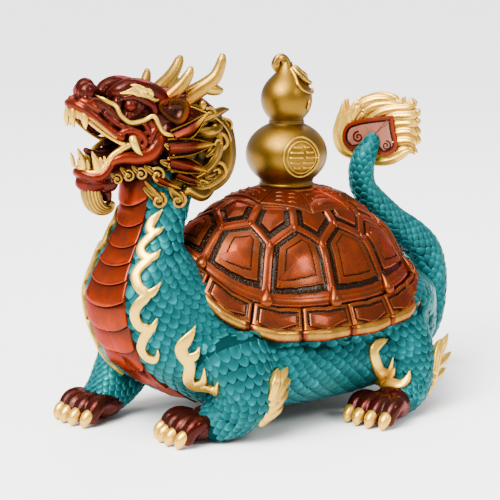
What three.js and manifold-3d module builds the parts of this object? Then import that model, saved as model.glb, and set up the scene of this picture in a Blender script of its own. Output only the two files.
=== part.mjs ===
import * as THREE from 'three';
import { mergeVertices } from 'three/addons/utils/BufferGeometryUtils.js';
import Module from 'manifold-3d';

// A dragon turtle: a cast dragon-headed body that stands on four paws, a domed shell resting on
// its back, and a double gourd standing on the shell. Millimetres, +Z up, the head faces -Y and
// the animal's left side is +X.

const wasm = await Module();
wasm.setup();

// Driving sizes
const figureHeight = 177;
const castingGap = 0.3;
const rimThickness = 5;
const gourdLowerWidth = 40.5;
const gourdUpperWidth = 25.5;

// The pose is drawn on a grid with this many squares over the figure's height, so that every
// point and radius of the free forms below is a share of the height.
const gridSquares = 177;
const grid = figureHeight / gridSquares;

const vec = (x, y, z) => new THREE.Vector3(x, y, z);
const radians = THREE.MathUtils.degToRad;
const mix = THREE.MathUtils.lerp;

// Materials
const finishes = {
  body: new THREE.MeshStandardMaterial({ color: 0x23857c, roughness: 0.42, metalness: 0.35 }),
  shell: new THREE.MeshStandardMaterial({ color: 0xa04a1c, roughness: 0.3, metalness: 0.45 }),
  gourd: new THREE.MeshStandardMaterial({ color: 0xb08d45, roughness: 0.35, metalness: 0.85 })
};

// Solids
function solid(geometry) {
  geometry.deleteAttribute('normal');
  geometry.deleteAttribute('uv');
  const merged = mergeVertices(geometry, 1e-4);
  const position = merged.getAttribute('position');
  const index = merged.index.array;
  const corner = [vec(), vec(), vec()];
  let volume = 0;
  const triVerts = [];
  for (let i = 0; i < index.length; i += 3) {
    const [a, b, c] = [index[i], index[i + 1], index[i + 2]];
    if (a === b || b === c || c === a) continue;
    triVerts.push(a, b, c);
    [a, b, c].forEach((k, n) => corner[n].fromBufferAttribute(position, k));
    volume += corner[0].dot(corner[1].clone().cross(corner[2]));
  }
  if (volume < 0) triVerts.reverse();
  return new wasm.Manifold(new wasm.Mesh({
    numProp: 3,
    vertProperties: new Float32Array(position.array),
    triVerts: new Uint32Array(triVerts)
  }));
}

function toGeometry(manifold) {
  const mesh = manifold.getMesh();
  const geometry = new THREE.BufferGeometry();
  geometry.setAttribute('position', new THREE.BufferAttribute(mesh.vertProperties, 3));
  geometry.setIndex(new THREE.BufferAttribute(mesh.triVerts, 1));
  geometry.computeVertexNormals();
  return geometry;
}

// The outer skin alone: where pieces that overlap shut in a small void, the void is filled.
const leastVolume = 0.1;

function filled(geometry) {
  const index = geometry.index.array;
  const position = geometry.getAttribute('position');
  const parent = Array.from({ length: position.count }, (_, k) => k);
  const root = (k) => {
    while (parent[k] !== k) k = parent[k] = parent[parent[k]];
    return k;
  };
  const corner = [vec(), vec(), vec()];
  for (let i = 0; i < index.length; i += 3) {
    parent[root(index[i + 1])] = root(index[i]);
    parent[root(index[i + 2])] = root(index[i]);
  }
  const volumes = new Map();
  for (let i = 0; i < index.length; i += 3) {
    corner.forEach((p, n) => p.fromBufferAttribute(position, index[i + n]));
    const skin = root(index[i]);
    volumes.set(skin, (volumes.get(skin) ?? 0) + corner[0].dot(corner[1].clone().cross(corner[2])));
  }
  geometry.setIndex(Array.from(index).filter((_, i) => volumes.get(root(index[i - i % 3])) > leastVolume));
  return geometry;
}

const joined = (solids) => solids.reduce((whole, piece) => whole.add(piece));

// Closed skin over a row of rings with the same number of points; each end closes on its middle.
function ringSkin(rings) {
  const count = rings[0].length;
  const points = rings.flat();
  const middle = (ring) => ring.reduce((sum, p) => sum.add(p), vec(0, 0, 0)).divideScalar(count);
  points.push(middle(rings[0]), middle(rings.at(-1)));
  const index = [];
  for (let r = 0; r < rings.length - 1; r += 1) {
    for (let k = 0; k < count; k += 1) {
      const a = r * count + k;
      const b = r * count + (k + 1) % count;
      index.push(a, b, a + count, b, b + count, a + count);
    }
  }
  const last = (rings.length - 1) * count;
  for (let k = 0; k < count; k += 1) {
    index.push((k + 1) % count, k, points.length - 2);
    index.push(last + k, last + (k + 1) % count, points.length - 1);
  }
  const geometry = new THREE.BufferGeometry().setFromPoints(points);
  geometry.setIndex(index);
  return geometry;
}

// Rows of numbers drawn through their stations as a smooth curve.
function smoothRows(rows, steps) {
  const at = (i) => rows[THREE.MathUtils.clamp(i, 0, rows.length - 1)];
  const out = [];
  for (let i = 0; i < rows.length - 1; i += 1) {
    for (let k = 0; k < steps; k += 1) {
      const t = k / steps;
      out.push(rows[i].map((_, n) => 0.5 * (2 * at(i)[n] + (at(i + 1)[n] - at(i - 1)[n]) * t
        + (2 * at(i - 1)[n] - 5 * at(i)[n] + 4 * at(i + 1)[n] - at(i + 2)[n]) * t * t
        + (3 * at(i)[n] - 3 * at(i + 1)[n] + at(i + 2)[n] - at(i - 1)[n]) * t * t * t)));
    }
  }
  out.push(rows.at(-1));
  return out;
}

// A limb: stations [x, y, z, halfWidth, halfDepth] in grid squares, with rounded ends. The width
// lies across the limb and level where it can; the depth lies across both.
function limb(stations, { sides = 8, steps = 1, wide = [1, 0, 0], startRound = 0.6, endRound = 0.6 } = {}) {
  const full = stations.map(([x, y, z, width, depth = width]) => [x, y, z, width, depth]);
  const rows = smoothRows(full, steps);
  const centres = rows.map((row) => vec(row[0], row[1], row[2]).multiplyScalar(grid));
  const frames = centres.map((centre, i) => {
    const ahead = centres[Math.min(i + 1, rows.length - 1)];
    const behind = centres[Math.max(i - 1, 0)];
    const along = ahead.clone().sub(behind).normalize();
    const across = vec(...wide);
    across.addScaledVector(along, -along.dot(across)).normalize();
    return { along, across, deep: along.clone().cross(across) };
  });
  const ring = (i, share, shift) => {
    const { along, across, deep } = frames[i];
    const [halfWidth, halfDepth] = [rows[i][3] * grid * share, rows[i][4] * grid * share];
    return Array.from({ length: sides }, (_, k) => {
      const angle = 2 * Math.PI * (k + 0.5) / sides;
      return centres[i].clone().addScaledVector(along, shift)
        .addScaledVector(across, halfWidth * Math.cos(angle))
        .addScaledVector(deep, halfDepth * Math.sin(angle));
    });
  };
  const rings = rows.map((_, i) => ring(i, 1, 0));
  const endRing = (i, reach) => ring(i, 0.6, reach * grid * Math.min(rows[i][3], rows[i][4]));
  if (startRound) rings.unshift(endRing(0, -startRound));
  if (endRound) rings.push(endRing(rows.length - 1, endRound));
  return solid(ringSkin(rings));
}

// A horn, claw, fang or mane point: a limb that narrows to a small tip.
function point(stations, options = {}) {
  return limb(stations, { sides: 6, startRound: 0, endRound: 0, ...options });
}

function ball(centre, radii, { turn = [0, 0, 0], across = 8, down = 6 } = {}) {
  const geometry = new THREE.SphereGeometry(1, across, down);
  const place = new THREE.Matrix4().compose(
    vec(...centre).multiplyScalar(grid),
    new THREE.Quaternion().setFromEuler(new THREE.Euler(...turn.map(radians))),
    vec(...radii).multiplyScalar(grid)
  );
  return solid(geometry.applyMatrix4(place));
}

function block(width, depth, height, centre) {
  return solid(new THREE.BoxGeometry(width, depth, height).translate(...centre));
}

// A curled lock: a tapering coil lying in the plane across the given facing direction.
function curl(centre, facing, radius, winding = {}) {
  const { turns = 1.1, thickness = 0.38, steps = 5, start = 0, hand = 1 } = winding;
  const out = vec(...facing).normalize();
  const side = vec(0, 0, 1).cross(out).normalize();
  const up = out.clone().cross(side);
  const stations = [];
  for (let i = 0; i <= steps; i += 1) {
    const share = i / steps;
    const angle = radians(start) + hand * 2 * Math.PI * turns * share;
    const reach = radius * mix(0.8, 0.12, share);
    const offset = side.clone().multiplyScalar(reach * Math.cos(angle))
      .addScaledVector(up, reach * Math.sin(angle))
      .addScaledVector(out, radius * 0.5 * share);
    const girth = radius * thickness * mix(1, 0.75, share);
    stations.push([centre[0] + offset.x, centre[1] + offset.y, centre[2] + offset.z, girth, girth]);
  }
  return limb(stations, { sides: 4, wide: facing, startRound: 0, endRound: 0 });
}

// Torso and neck
// Each station gives the sideways shift of the section, its front or under edge [y, z], its back or
// upper edge [y, z] and its half width, from inside the head down to the rump.
const trunkStations = [
  [-7, -94, 134, -60, 141, 13],
  [-7, -96, 123, -60, 130, 14],
  [-7, -96, 111, -61, 118, 14.8],
  [-7, -96.5, 101, -66, 108, 17.5],
  [-7, -101, 91.5, -72, 98, 21],
  [-7, -106, 83.5, -71.5, 91, 23],
  [-7, -110, 75, -67, 85, 26],
  [-7, -112.5, 65, -60, 79, 28.5],
  [-6.5, -109.5, 53, -52, 73, 32],
  [-6, -103, 41.5, -42, 70, 36],
  [-5, -94.5, 32, -32, 69, 40.5],
  [-3, -77, 21, -20, 69, 45.5],
  [-1, -57, 12.5, -6, 70, 49.5],
  [0, -20, 9.5, 8, 71, 52.5],
  [0, 20, 9.5, 30, 71, 53],
  [0, 48, 16, 52, 68, 49],
  [0, 72, 27, 68, 64, 38],
  [0, 88, 40, 84, 60, 23],
  [0, 94, 50, 91, 58, 8]
];
const neckStations = 9;

// Belly plates: each runs across the front of the neck and breast as a shallow fold and stands
// proud at its lower edge, where the next one starts beneath it.
const belly = {
  plates: 12, first: 0.8, last: 12.6, narrow: 8.8, broad: 14, upper: 0.5, lower: 1.8, fold: 0.3, cuts: 4
};
const flankCuts = 9;

// Section angles from the middle of the belly round one way and back, with the belly's edges.
function trunkAngles(halfBelly) {
  const across = Array.from({ length: belly.cuts + 1 }, (_, k) => halfBelly * (2 * k / belly.cuts - 1));
  const start = halfBelly + 0.06;
  const span = 2 * (Math.PI - start);
  return [...across, ...Array.from({ length: flankCuts + 1 }, (_, k) => start + span * k / flankCuts)];
}

function trunkPoint(row, angle, lift) {
  const [shift, frontY, frontZ, backY, backZ, halfWidth] = row;
  const middle = vec(shift, (frontY + backY) / 2, (frontZ + backZ) / 2);
  const deep = vec(0, frontY - middle.y, frontZ - middle.z);
  const squareness = mix(0.04, 0.18, THREE.MathUtils.smoothstep(halfWidth, 30, 50));
  const fullness = 1 + squareness * Math.abs(Math.sin(2 * angle));
  const reach = deep.length() * fullness + lift;
  return middle.addScaledVector(deep.normalize(), reach * Math.cos(angle))
    .add(vec((halfWidth * fullness + lift) * Math.sin(angle), 0, 0))
    .multiplyScalar(grid);
}

function trunkRow(place) {
  const index = Math.min(Math.floor(place), trunkStations.length - 2);
  return trunkStations[index].map((value, n) => mix(value, trunkStations[index + 1][n], place - index));
}

// The section at a place along the stations; plateLift raises the belly band above the skin.
function trunkRing(place, lift, plateLift) {
  const along = THREE.MathUtils.clamp((place - belly.first) / (belly.last - belly.first), 0, 1);
  const halfWidth = mix(belly.narrow, belly.broad, Math.sin(Math.PI * along ** 1.3));
  const halfBelly = Math.asin(Math.min(0.9, halfWidth / trunkRow(place)[5]));
  return trunkAngles(halfBelly).map((angle, k) => {
    if (k > belly.cuts) return trunkPoint(trunkRow(place), angle, lift);
    const drop = belly.fold * (1 - Math.abs(angle) / halfBelly);
    const row = trunkRow(Math.min(place + drop, trunkStations.length - 1));
    return trunkPoint(row, angle, lift + plateLift);
  });
}

function trunk(lift = 0) {
  const last = trunkStations.length - 1;
  const rings = [trunkRing(0, lift, 0)];
  for (let plate = 0; plate < belly.plates; plate += 1) {
    const [start, end] = [0, 1].map((n) => mix(belly.first, belly.last, (plate + n) / belly.plates));
    rings.push(trunkRing(start + 0.04, lift, belly.upper), trunkRing(end, lift, belly.lower));
  }
  for (let place = Math.ceil(belly.last) + 0.5; place <= last; place += 1) {
    rings.push(trunkRing(place, lift, 0));
  }
  return solid(ringSkin([...rings, trunkRing(last, lift, 0)]));
}

function neck(lift = 0) {
  return solid(ringSkin(Array.from({ length: neckStations }, (_, place) => trunkRing(place, lift, 0))));
}

// Legs and paws
const legs = {
  nearFront: [
    [33, -66, 42, 15, 19], [38, -66, 33, 14, 15.5], [39.5, -64.5, 23, 13, 13.5], [34, -68, 14, 12, 12.5],
    [26, -76, 8, 12, 9]
  ],
  farFront: [
    [-36, -66, 42, 15, 19], [-43, -64, 33, 15, 17], [-45, -68, 23, 13.5, 15.5], [-43, -78, 14, 12, 12.5],
    [-42, -88, 8, 12, 9]
  ],
  nearHind: [
    [38, 32, 46, 14, 20], [46, 32, 36, 15, 19], [52, 33, 26, 13.5, 15], [55, 30, 15, 12, 12.5],
    [58, 20, 8, 12, 9]
  ]
};
const mirrored = (rows) => rows.map(([x, ...rest]) => [-x, ...rest]);
legs.farHind = mirrored(legs.nearHind);

const paws = [
  { toes: [17.5, -94.5, 0], turn: -14 },
  { toes: [-41.5, -105.5, 0], turn: -2 },
  { toes: [60, -6, 0], turn: 4 },
  { toes: [-60, -6, 0], turn: -4 }
];
// Each paw row crosses it from side to side: how far it lies behind the toe tips, its half width,
// and its height between the toes and on them. The outer toes are set back.
const pawRows = [
  [25, 9, 8, 8.5], [17, 12, 12, 12.5], [10, 14.4, 9.5, 12.6], [5, 15, 5, 10], [1.5, 14.4, 2.5, 6.5]
];
const toes = { count: 4, setBack: 3.5, clawRoot: 5.8, clawGirth: 3.4 };

// One paw, drawn with its toe tips on the X axis and pointing along -Y, then turned and placed.
function paw({ toes: tips, turn }) {
  const setBack = (share) => toes.setBack * share * share;
  const rings = pawRows.map(([behind, halfWidth, valley, crest]) => {
    const ridges = Array.from({ length: 2 * toes.count + 1 }, (_, k) => {
      const share = k / toes.count - 1;
      return vec(share * halfWidth, behind + setBack(share), k % 2 ? crest : valley);
    });
    const under = [1, -1].map((share) => vec(share * halfWidth, behind + setBack(share), -2));
    return [...ridges, ...under].map((p) => p.multiplyScalar(grid));
  });
  const claws = Array.from({ length: toes.count }, (_, k) => {
    const share = (2 * k + 1) / toes.count - 1;
    const x = share * pawRows.at(-1)[1];
    const y = setBack(share) + pawRows.at(-1)[0];
    const [root, tip] = [[x, y + 1.5, toes.clawRoot], [x, y - 1.5, -0.5]];
    return point([[...root, toes.clawGirth], [...tip, toes.clawGirth * 0.7]], { sides: 4 });
  });
  const place = new THREE.Matrix4().makeTranslation(...tips.map((value) => value * grid))
    .multiply(new THREE.Matrix4().makeRotationZ(radians(turn)));
  return moved(joined([solid(ringSkin(rings)), ...claws]), place);
}

function moved(manifold, matrix) {
  return solid(toGeometry(manifold).applyMatrix4(matrix));
}

// Tail with its flame-shaped tuft
const tailStations = [
  [0, 80, 40, 15, 14], [0, 93, 25, 13, 12.5], [0, 104, 28.5, 12, 11.5], [0, 108.5, 42, 11.2, 11.2],
  [0, 107.6, 55, 11, 11], [0, 102, 66.5, 10.6, 10.6], [0, 91.5, 76, 9.6, 9.6], [0, 79.2, 84, 8.6, 8.6],
  [0, 66, 94.5, 7.4, 7.4], [0, 57.5, 102.5, 6.8, 6.8], [0, 54.4, 110, 6.6, 6.6], [0, 55.5, 118, 6.4, 6.4],
  [0, 60, 124.5, 5.2, 5.2], [0, 63.5, 130, 3.2, 3.2]
];

// The tuft is a flame of hair drawn in its own plane, with curled tips round its edge and a
// heart-shaped plate on its face.
const tuft = { centre: [-4.5, 70, 133], facing: 30, thickness: 9, bevel: 3.5 };
const tuftOutline = [
  [-12, -14], [-20, -9.5], [-21.5, -2.5], [-19, 5], [-13, 11.5], [-8, 18], [0, 19.6], [6.5, 18.8], [12.5, 14.5],
  [19.5, 15.2], [22, 10.7], [21.5, 0], [22, -8], [18, -12.5], [11.7, -17.4], [3.3, -18.4]
];
// Curled tips of its locks as [across, up, radius] stations in the same plane.
const tuftTips = [
  [[-18.5, 1, 3.4], [-17.3, 8, 2.6], [-16.8, 12, 1.9], [-15.3, 15.8, 0.8]],
  [[17.5, 11, 3], [17.5, 15, 2.2], [14.6, 17.8, 0.8]],
  [[16.5, -9.5, 3.2], [19.5, -11, 2.2], [22.3, -12, 0.9]]
];
const heartOutline = [
  [11.2, 8.4], [-1.6, 6.8], [-10.5, 4.6], [-14.6, 1.7], [-16, -3.5], [-13.7, -8.7], [-8, -11.5], [0, -9.5],
  [4.7, -12.5], [7.7, -12.7], [11.3, -11], [13.6, -6.5], [12, 0]
];
const heartThickness = 3;

function flatShape(outline, thickness, bevel = 0) {
  const corners = outline.map(([across, up]) => new THREE.Vector2(across, up).multiplyScalar(grid));
  const shape = new THREE.Shape(corners);
  const geometry = new THREE.ExtrudeGeometry(shape, {
    depth: thickness * grid, bevelEnabled: bevel > 0, bevelThickness: bevel * grid, bevelSize: bevel * grid,
    bevelOffset: -bevel * grid, bevelSegments: 1
  });
  return geometry.translate(0, 0, -thickness * grid / 2).rotateX(Math.PI / 2);
}

function tailTuft() {
  const hair = solid(flatShape(tuftOutline, tuft.thickness, tuft.bevel));
  const plateOut = (tuft.thickness / 2 + tuft.bevel) * grid;
  const plate = solid(flatShape(heartOutline, heartThickness).translate(0, -plateOut, 0));
  const place = new THREE.Matrix4().makeTranslation(...tuft.centre.map((value) => value * grid))
    .multiply(new THREE.Matrix4().makeRotationZ(radians(tuft.facing)));
  const tips = tuftTips.map((rows) => (
    point(rows.map(([across, up, radius]) => [across, 0, up, radius]), { sides: 5 })));
  return moved(joined([hair, plate, ...tips]), place);
}

// Head
// Points of the head are given as [forward, left, up] from its own middle.
const head = { middle: [-7, -87.5, 146], turn: -15 };
const face = (forward, left, up, ...radii) => [left, -forward, up, ...radii];
const bothSides = (build) => [build(1), build(-1)];

function jaws() {
  const skull = limb([
    face(-34, 0, -6, 9, 12), face(-22, 0, 2, 14, 14), face(-8, 0, 4.5, 15.5, 15), face(6, 0, 6, 14, 13.5),
    face(14, 0, 9, 10, 9)
  ]);
  const muzzle = limb([
    face(6, 0, 4, 13.5, 9), face(17, 0, 6, 12, 8.5), face(26, 0, 9.5, 10, 6), face(34, 0, 12, 5.5, 3.2)
  ]);
  const chin = limb([
    face(-4, 0, -14, 13, 8), face(10, 0, -18, 12, 6.5), face(20, 0, -20.5, 10, 5.8), face(28, 0, -21, 6.5, 5)
  ]);
  const tongue = limb([
    face(2, 0, -10, 7, 3.5), face(14, 0, -11.5, 6.5, 3), face(22, 0, -12, 4.5, 2.4), face(27, 0, -10, 2, 1.4)
  ], { sides: 6 });
  return [skull, muzzle, chin, tongue];
}

function lips() {
  const upper = [[13.5, 13, -3.6], [21, 11.6, 1.2], [28.2, 9.4, 7.4], [34.6, 5, 12]];
  const lower = [[12, 12.6, -9.6], [19.5, 11.2, -14.4], [26, 8.8, -17.4], [31, 3.6, -17.6]];
  const rim = (points, girth) => {
    const left = points.map(([f, l, u]) => face(f, l, u, girth, girth));
    const right = points.map(([f, l, u]) => face(f, -l, u, girth, girth)).reverse();
    return limb([...left, ...right], { sides: 5, wide: [0, 0, 1] });
  };
  return [rim(upper, 2.4), rim(lower, 2.2)];
}

function features(side) {
  const f = (forward, left, up, ...radii) => face(forward, side * left, up, ...radii);
  const brow = [f(18, 9, 12, 4), f(12.5, 9.5, 17.5, 5, 4.6), f(4, 10, 17.8, 5.4, 4.6), f(-4, 11, 14, 4.6, 4)];
  return [
    ball(f(29, 3.6, 17.2), [4, 5.4, 5.8], { across: 6, down: 4 }),
    limb(brow, { sides: 5 }),
    ball(f(11.2, 12.6, 10.4), [2.6, 3.4, 3.4], { across: 6, down: 4 }),
    ball(f(-1.5, 11, -8), [8.5, 10, 9], { across: 6, down: 4 }),
    ear(f),
    whisker(f),
    ...horns(side)
  ];
}

// A cupped ear, open to the side.
function ear(f) {
  const outside = ball(f(-10.5, 17, 7.5), [4.5, 8, 7], { across: 6, down: 4 });
  return outside.subtract(ball(f(-10.5, 22, 7.6), [4.6, 6, 5.2], { across: 5, down: 4 }));
}

function whisker(f) {
  const line = [
    [24.4, 7.4, 14.9], [15.6, 13.6, 6.7], [12, 14.8, 4], [4.4, 16.4, 5.8], [-5.3, 18.6, -2.7], [-10.2, 20, -1.2]
  ];
  return limb(line.map((place) => f(...place, 1.2)), { sides: 4, startRound: 0, endRound: 0 });
}

const horn = (stations) => point(stations, { sides: 5 });

function horns(side) {
  const f = (forward, left, up, ...radii) => face(forward, side * left, up, ...radii);
  if (side > 0) {
    return [
      horn([f(-18, 8, 12, 4), f(-24, 11, 17.5, 3.6), f(-30.5, 13.5, 24.5, 2.7), f(-34.4, 15, 33, 1.4)]),
      horn([f(-26, 12, 18.5, 3), f(-36, 13, 15.6, 1.5)]),
      horn([f(-7, 11, 12, 4), f(-12.5, 13, 18, 3.6), f(-17.4, 15.5, 27, 1.6)])
    ];
  }
  return [
    horn([f(-10, 7, 13, 4), f(-17, 9.5, 19.5, 3.4), f(-24, 12, 25.5, 2.6), f(-27.2, 14, 30.4, 1.4)]),
    horn([f(-20, 10.5, 20, 3), f(-31, 13, 18, 1.5)]),
    horn([f(-4, 7, 14, 3.6), f(-6.5, 9.5, 20, 3), f(-8.6, 12, 25, 1.6)])
  ];
}

function teeth() {
  const fang = (root, tip, girth) => point([[...root, girth], [...tip, girth * 0.3]], { sides: 4 });
  const row = (forward, up, halfWidth) => {
    const places = [[forward - 1.5, -halfWidth, up], [forward, 0, up], [forward - 1.5, halfWidth, up]];
    const flat = { sides: 4, wide: [0, 1, 0], startRound: 0, endRound: 0 };
    return limb(places.map((place) => face(...place, 1, 2.4)), flat);
  };
  return [row(33.6, 8.4, 4.4), row(30, -15.4, 5), ...bothSides((side) => [
    fang(face(26, side * 8.5, 7), face(25.4, side * 8.8, -0.5), 2),
    fang(face(23.5, side * 7.6, -17), face(25, side * 8, -7), 2.4),
    fang(face(12, side * 12.6, -3.6), face(8, side * 15.2, -11.5), 2.2),
    fang(face(34.4, side * 3.6, 10), face(34.6, side * 3.8, 2.5), 1.2)
  ]).flat()];
}

// The mane: a full mass behind the jaw, spikes pointing back from the cheek, curled locks under
// them and a long lock that sweeps up round the back of the head.
function mane() {
  const mass = [
    ball(face(-30, 0, -9), [14, 16, 16], { across: 10 }),
    ball(face(-15, 0, -26), [17, 17, 9.5], { across: 8, down: 5 })
  ];
  const curlPlaces = [[-1, 13, -19.5, 4.2], [-22, 9.5, -31.5, 5], [-11, 11, -32, 4.8]];
  const spikePlaces = [
    [[-6, 11.5, -1.5], [-23.9, 20, 4.8], 6], [[-4, 12, -8.5], [-26.5, 21.5, -7.9], 6.6],
    [[-4, 11.5, -14], [-24.4, 20, -21.1], 6], [[0, 9, -20], [-11.2, 17.5, -28], 5]
  ];
  const sides = bothSides((side) => {
    const f = (forward, left, up, ...radii) => face(forward, side * left, up, ...radii);
    const curls = curlPlaces.map(([forward, left, up, radius], i) => {
      const winding = { turns: 0.9, steps: 4, start: 90 * i, hand: side };
      return curl(f(forward, left, up), [side, i ? 0.3 : -0.1, 0.1], radius, winding);
    });
    const spikes = spikePlaces.map(([root, tip, girth]) => (
      point([f(...root, girth * 0.55, girth), f(...tip, 0.5, 0.7)], { sides: 4 })));
    const sweep = limb([
      f(-24, 12, -30, 4, 5), f(-37, 11, -25, 3.5, 5), f(-43, 8, -16, 3.2, 4.5), f(-43, 6, -3, 2.6, 3)
    ], { sides: 5 });
    const crest = point([f(-26, 8, 6, 4), f(-40, 8, 6, 1)], { sides: 5 });
    return [...curls, ...spikes, sweep, crest];
  }).flat();
  return [...mass, ...sides];
}

function beard() {
  return limb([
    face(28, 0, -23, 6, 3.6), face(27, 0, -31, 6, 4), face(22.5, 0, -36, 5.4, 3.4), face(17, 0, -34.5, 4, 2.4)
  ]);
}

function wholeHead() {
  const pieces = [...jaws(), ...lips(), ...features(1), ...features(-1), ...teeth(), ...mane(), beard()];
  const place = new THREE.Matrix4().makeTranslation(...head.middle.map((value) => value * grid))
    .multiply(new THREE.Matrix4().makeRotationZ(radians(head.turn)));
  return moved(joined(pieces), place);
}

// Shell
// A point of the shell has a bearing round its oval rim (0 is the animal's left, -90 the front)
// and a share of the way from the crown (0) to the rim (1).
const shell = {
  halfLength: 78 * grid, halfWidth: 61 * grid, shift: -2 * grid, crown: 110 * grid,
  rimHeight: 50.5 * grid, frontRise: 30 * grid, rearRise: 10 * grid, underCrown: 72 * grid
};
// How far the dome has fallen from the crown to the rim, as [share of the way out, share of the drop].
const domeFall = [
  [0, 0], [0.2, 0.012], [0.45, 0.11], [0.585, 0.24], [0.69, 0.37], [0.75, 0.45], [0.84, 0.65],
  [0.9, 0.79], [1, 1]
];
// Rim shields: how many, where they start, how far their blunt corner reaches and how high they stand.
const rim = { shields: 18, inner: 0.885, corner: 1.03, step: 1.6 * grid };
const relief = {
  rib: 1.65 * grid, notch: 0.5 * grid, groove: 1.8 * grid, sunk: 1.1 * grid, raised: 0.6 * grid
};

function rimTop(bearing) {
  const forward = -Math.sin(bearing);
  return shell.rimHeight + shell.frontRise * Math.max(0, forward) ** 7
    + shell.rearRise * Math.max(0, -forward) ** 1.5;
}

function fallShare(share) {
  const next = Math.max(1, domeFall.findIndex(([s]) => s >= Math.min(share, 1)));
  const [s0, f0] = domeFall[next - 1];
  const [s1, f1] = domeFall[next];
  return mix(f0, f1, (share - s0) / (s1 - s0));
}

function shellPoint(bearing, share, lift = 0) {
  const place = (t, s) => vec(
    shell.halfWidth * s * Math.cos(t),
    shell.shift + shell.halfLength * s * Math.sin(t),
    mix(shell.crown, rimTop(t), fallShare(s))
  );
  const here = place(bearing, share);
  if (!lift) return here;
  const step = 0.02;
  const outward = place(bearing, share + step).sub(place(bearing, Math.max(share - step, 0.001)));
  const sideways = place(bearing + step, share).sub(place(bearing - step, share));
  return here.addScaledVector(outward.cross(sideways).normalize(), lift);
}

const shellAt = (x, y, lift) => {
  const [u, v] = [x / shell.halfWidth, (y - shell.shift) / shell.halfLength];
  return shellPoint(Math.atan2(v, u), Math.hypot(u, v), lift);
};

// The [bearing, share] corners moved inwards across the surface and set at a lift above it.
function insetRing(corners, inset, lift) {
  const outline = corners.map(([bearing, share]) => shellPoint(radians(bearing), share));
  if (!inset) return outline;
  const count = outline.length;
  const middle = outline.reduce((sum, p) => sum.add(p), vec(0, 0, 0)).divideScalar(count);
  const normal = shellAt(middle.x, middle.y, 1).sub(shellAt(middle.x, middle.y, 0));
  const inward = (a, b) => normal.clone().cross(b.clone().sub(a)).normalize();
  return outline.map((p, i) => {
    const first = inward(outline[(i + count - 1) % count], p);
    const second = inward(p, outline[(i + 1) % count]);
    const step = first.clone().add(second).divideScalar(1 + first.dot(second));
    const at = p.clone().addScaledVector(step, inset);
    return shellAt(at.x, at.y, lift);
  });
}

// Triangles that close a ring on a point, and those between two rings with equal numbers of points.
const fan = (ring, tip) => ring.flatMap((p, i) => [p, ring[(i + 1) % ring.length], tip]);

function band(outer, inner) {
  return outer.flatMap((p, i) => {
    const next = (i + 1) % outer.length;
    return [p, outer[next], inner[i], outer[next], inner[next], inner[i]];
  });
}

// Triangles between two rings with different numbers of points, given in order of bearing.
function zipper(outer, inner) {
  const faces = [];
  let [o, i] = [0, 0];
  while (o < outer.length || i < inner.length) {
    const [a, b] = [outer[o % outer.length], inner[i % inner.length]];
    if (i === inner.length || (o < outer.length && (o + 1) / outer.length <= (i + 1) / inner.length)) {
      o += 1;
      faces.push(a, outer[o % outer.length], b);
    } else {
      i += 1;
      faces.push(a, inner[i % inner.length], b);
    }
  }
  return faces;
}

// Triangles of one scute: its half of the ribs round it, a V-shaped groove and a raised panel. A
// bold scute first steps up from its border by the given height.
function scute(corners, step = 0) {
  const border = relief.rib + (step ? relief.notch : 0);
  const rings = [
    insetRing(corners, 0, 0),
    ...(step ? [insetRing(corners, relief.notch, step)] : []),
    insetRing(corners, border, step + 0.01),
    insetRing(corners, border + relief.groove / 2, step - relief.sunk),
    insetRing(corners, border + relief.groove, step + relief.raised)
  ];
  const inner = rings.at(-1);
  const middle = inner.reduce((sum, p) => sum.add(p), vec(0, 0, 0)).divideScalar(corners.length);
  const faces = fan(inner, shellAt(middle.x, middle.y, step + relief.raised));
  for (let r = 0; r < rings.length - 1; r += 1) faces.push(...band(rings[r], rings[r + 1]));
  return faces;
}

const around = (count, build) => Array.from({ length: count }, (_, k) => build(k * 360 / count)).flat();

// Points round the shell at one share, each set to the height that the given function returns.
const onSurface = (bearing, share) => shellPoint(bearing, share).z;
const underSide = (bearing, share) => (
  mix(shell.underCrown, rimTop(bearing) - rimThickness, Math.min(1, share / 0.86) ** 2));

function shellRing(count, share, height) {
  return around(count, (b) => [shellPoint(radians(b), share).setZ(height(radians(b), share))]);
}

// The wavy rim: a blunt corner at the middle of each rim shield.
function rimRing(height, grown = 0) {
  return around(2 * rim.shields, (b) => {
    const share = Math.round(b * rim.shields / 180) % 2 ? 1 : rim.corner;
    const at = shellPoint(radians(b), share);
    const reach = 1 + grown / Math.hypot(at.x, at.y - shell.shift);
    return [vec(at.x * reach, shell.shift + (at.y - shell.shift) * reach, height(radians(b), share))];
  });
}

// The hollow underside, from the rim inwards.
function underFaces(grown) {
  const height = (bearing, share) => underSide(bearing, share) - grown;
  const rings = [rimRing(height, grown), shellRing(24, 0.84, height), shellRing(12, 0.5, height)];
  const middle = vec(0, shell.shift, shell.underCrown - grown);
  return [...zipper(rings[0], rings[1]), ...zipper(rings[1], rings[2]), ...fan(rings[2], middle)].reverse();
}

// The room that the shell takes with its raised shields, grown on every side, which the body leaves free.
function shellRoom(grown) {
  const headroom = 2.5 * rim.step + grown;
  const low = (bearing, share) => underSide(bearing, share) - grown;
  const high = (bearing, share) => onSurface(bearing, share) + headroom;
  const edge = rimRing(high, rim.step + grown);
  const upper = [0.84, 0.69, 0.585, 0.45, 0.2].map((share) => shellRing(24, share, high));
  const faces = [
    ...underFaces(grown), ...band(rimRing(low, grown), edge), ...zipper(edge, upper[0]),
    ...upper.slice(1).flatMap((ring, k) => band(upper[k], ring)),
    ...fan(upper.at(-1), vec(0, shell.shift, shell.crown + headroom))
  ];
  return solid(new THREE.BufferGeometry().setFromPoints(faces));
}

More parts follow.
